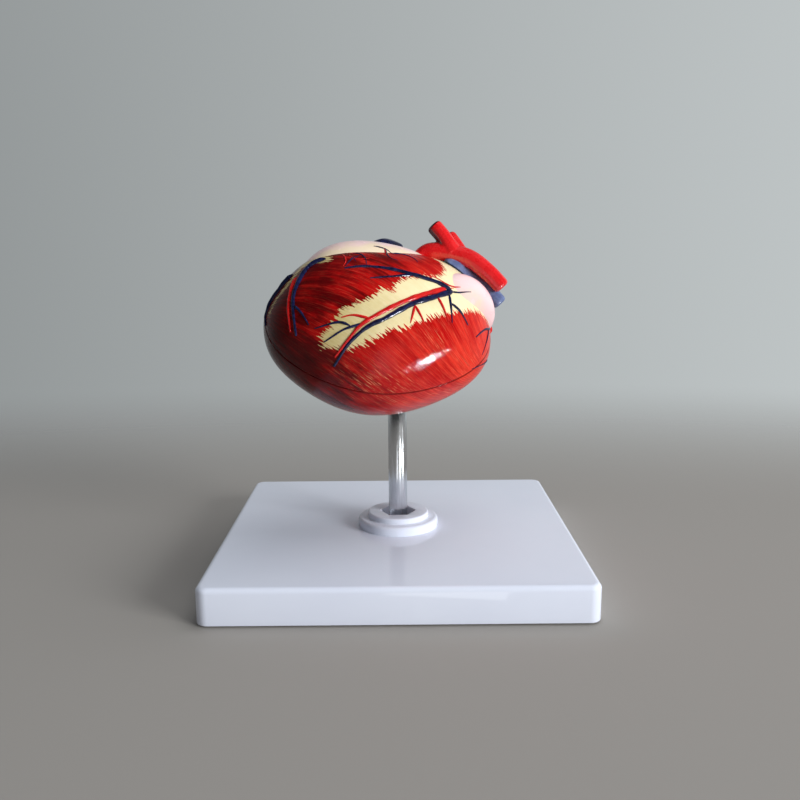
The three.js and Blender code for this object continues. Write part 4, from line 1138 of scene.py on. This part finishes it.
great_vessels = {
    "aorta": ("front_section", "artery", aorta_paint, [
        ((3.4, 3.9, 4.1, 4.0, 3.8, 3.6), [
            (0.585, 75, -1.5), (0.606, 78.5, 3), (0.65, 81.7, 5), (0.706, 87.3, 7.4), (0.763, 93.2, 8.7),
            (0.812, 98.3, 10.5),
        ]),
        ((4.6, 3.8, 3.5, 3.5), [(0.66, 82.6, 6.2), (0.638, 82.4, 8.6), (0.618, 82.2, 11), (0.591, 81.4, 14)]),
        ((3.4, 2.8, 2.6), [(0.692, 82.5, 7), (0.657, 79, 10.9), (0.637, 76.8, 13.5)]),
    ]),
    "pulmonary_artery": ("front_section", "pulmonary", blue_grey, [
        ((5.2, 4.9, 4.2, 3.6, 3.5, 3.4), [
            (0.68, 83.4, -2), (0.695, 82.6, 0.2), (0.726, 80.9, 1), (0.761, 80.6, 2.5), (0.81, 82.8, 5.3),
            (0.854, 86.4, 7.7),
        ]),
    ]),
    "cranial_vena_cava": ("front_section", "vein", vein_paint, [
        ((4.75, 4.75, 4.6, 4.2), [(0.44, 58.7, -3), (0.46, 58, 2.2), (0.495, 55.8, 8.2), (0.535, 50.2, 11)]),
    ]),
    "caudal_vena_cava": ("back_section", "vein", vein_paint, [
        ((4.75, 4.75, 4.75), [(0.44, 23.6, -2), (0.437, 23.1, -0.4), (0.426, 19.6, 12.9)]),
    ]),
}
for number, (s, turn) in enumerate(((0.8, 338), (0.72, 8), (0.85, 20)), 1):
    great_vessels[f"pulmonary_vein_{number}"] = ("back_section", "artery", artery_paint, [
        ((2.5, 2.5, 2.5), [(s, turn, -1.5), (s, turn, 5), (s, turn, 11)]),
    ])


def outward(s, turn):
    """The direction square to the casting."""
    along = casting(s + 0.004, turn) - casting(s - 0.004, turn)
    square = np.cross(casting(s, turn + 1) - casting(s, turn - 1), along)
    return square / np.linalg.norm(square)


edge_round = 1.5
for node, (body, kind, paint, bars) in great_vessels.items():
    runs = []
    ends = []
    for radii, stops in bars:
        knots = np.array(stops, float)
        spots = casting(knots[:, 0], knots[:, 1], knots[:, 2])
        if node.startswith("pulmonary_vein"):
            spots = casting(*knots[0, :2]) + np.outer(knots[:, 2] * MM, outward(*knots[0, :2]))
        share = np.linspace(0, 0.96, 48)
        path = np.stack([half_size(spots[:, axis], share) for axis in range(3)], -1)
        thick = half_size(radii, share)
        way = (path[-1] - path[-2]) / np.linalg.norm(path[-1] - path[-2])
        bend = np.radians((20, 40, 60, 80))[:, None]
        path = np.concatenate([path, path[-1] + way * np.sin(bend) * edge_round * MM])
        thick = np.concatenate([thick, thick[-1] - edge_round * (1 - np.cos(bend[:, 0]))])
        runs.append((path, thick))
        ends.append((path[-1], way, radii[-1]))
    vessel = new_tube(f"{node}_stump", runs)
    melt = vessel.modifiers.new("melt", "REMESH")
    melt.mode = "VOXEL"
    melt.voxel_size = 0.3 * MM
    soften = vessel.modifiers.new("soften", "SMOOTH")
    soften.factor = 0.5
    soften.iterations = 8
    bpy.ops.object.modifier_apply(modifier="melt")
    bpy.ops.object.modifier_apply(modifier="soften")
    smooth_round(vessel, 60)
    points = corners_of(vessel.data)
    cut = np.zeros(len(points))
    for tip, way, radius in ends[1:] if node == "aorta" else ends:
        apart = points - tip
        along = apart @ way / MM
        aside = np.linalg.norm(apart - np.outer(apart @ way, way), axis=1) / MM
        cut = np.maximum(cut, np.clip((along + 1) / 0.4, 0, 1) * (aside < radius + 0.3))
    # Painted shade: the brachiocephalic branch's flank that faces left and down is painted dark towards its end.
    if node == "aorta":
        tip, way, radius = ends[1]
        normals = np.array([corner.normal for corner in vessel.data.vertices])
        apart = points - tip
        along = -(apart @ way) / MM
        aside = np.linalg.norm(apart - np.outer(apart @ way, way), axis=1) / MM
        flank_painted_shade = np.clip((normals @ np.array((-0.88, -0.1, -0.46)) - 0.25) / 0.6, 0, 1)
        cut = np.maximum(cut, flank_painted_shade * np.clip((13 - along) / 4, 0, 1) * (aside < radius + 0.5))
    s, turn = station(points)
    height = np.linalg.norm(points - casting(s, turn), axis=1) / MM
    write_values(vessel.data, "cut", cut)
    write_values(vessel.data, "height", height)
    put_in_place(vessel, body, [node], [paint])
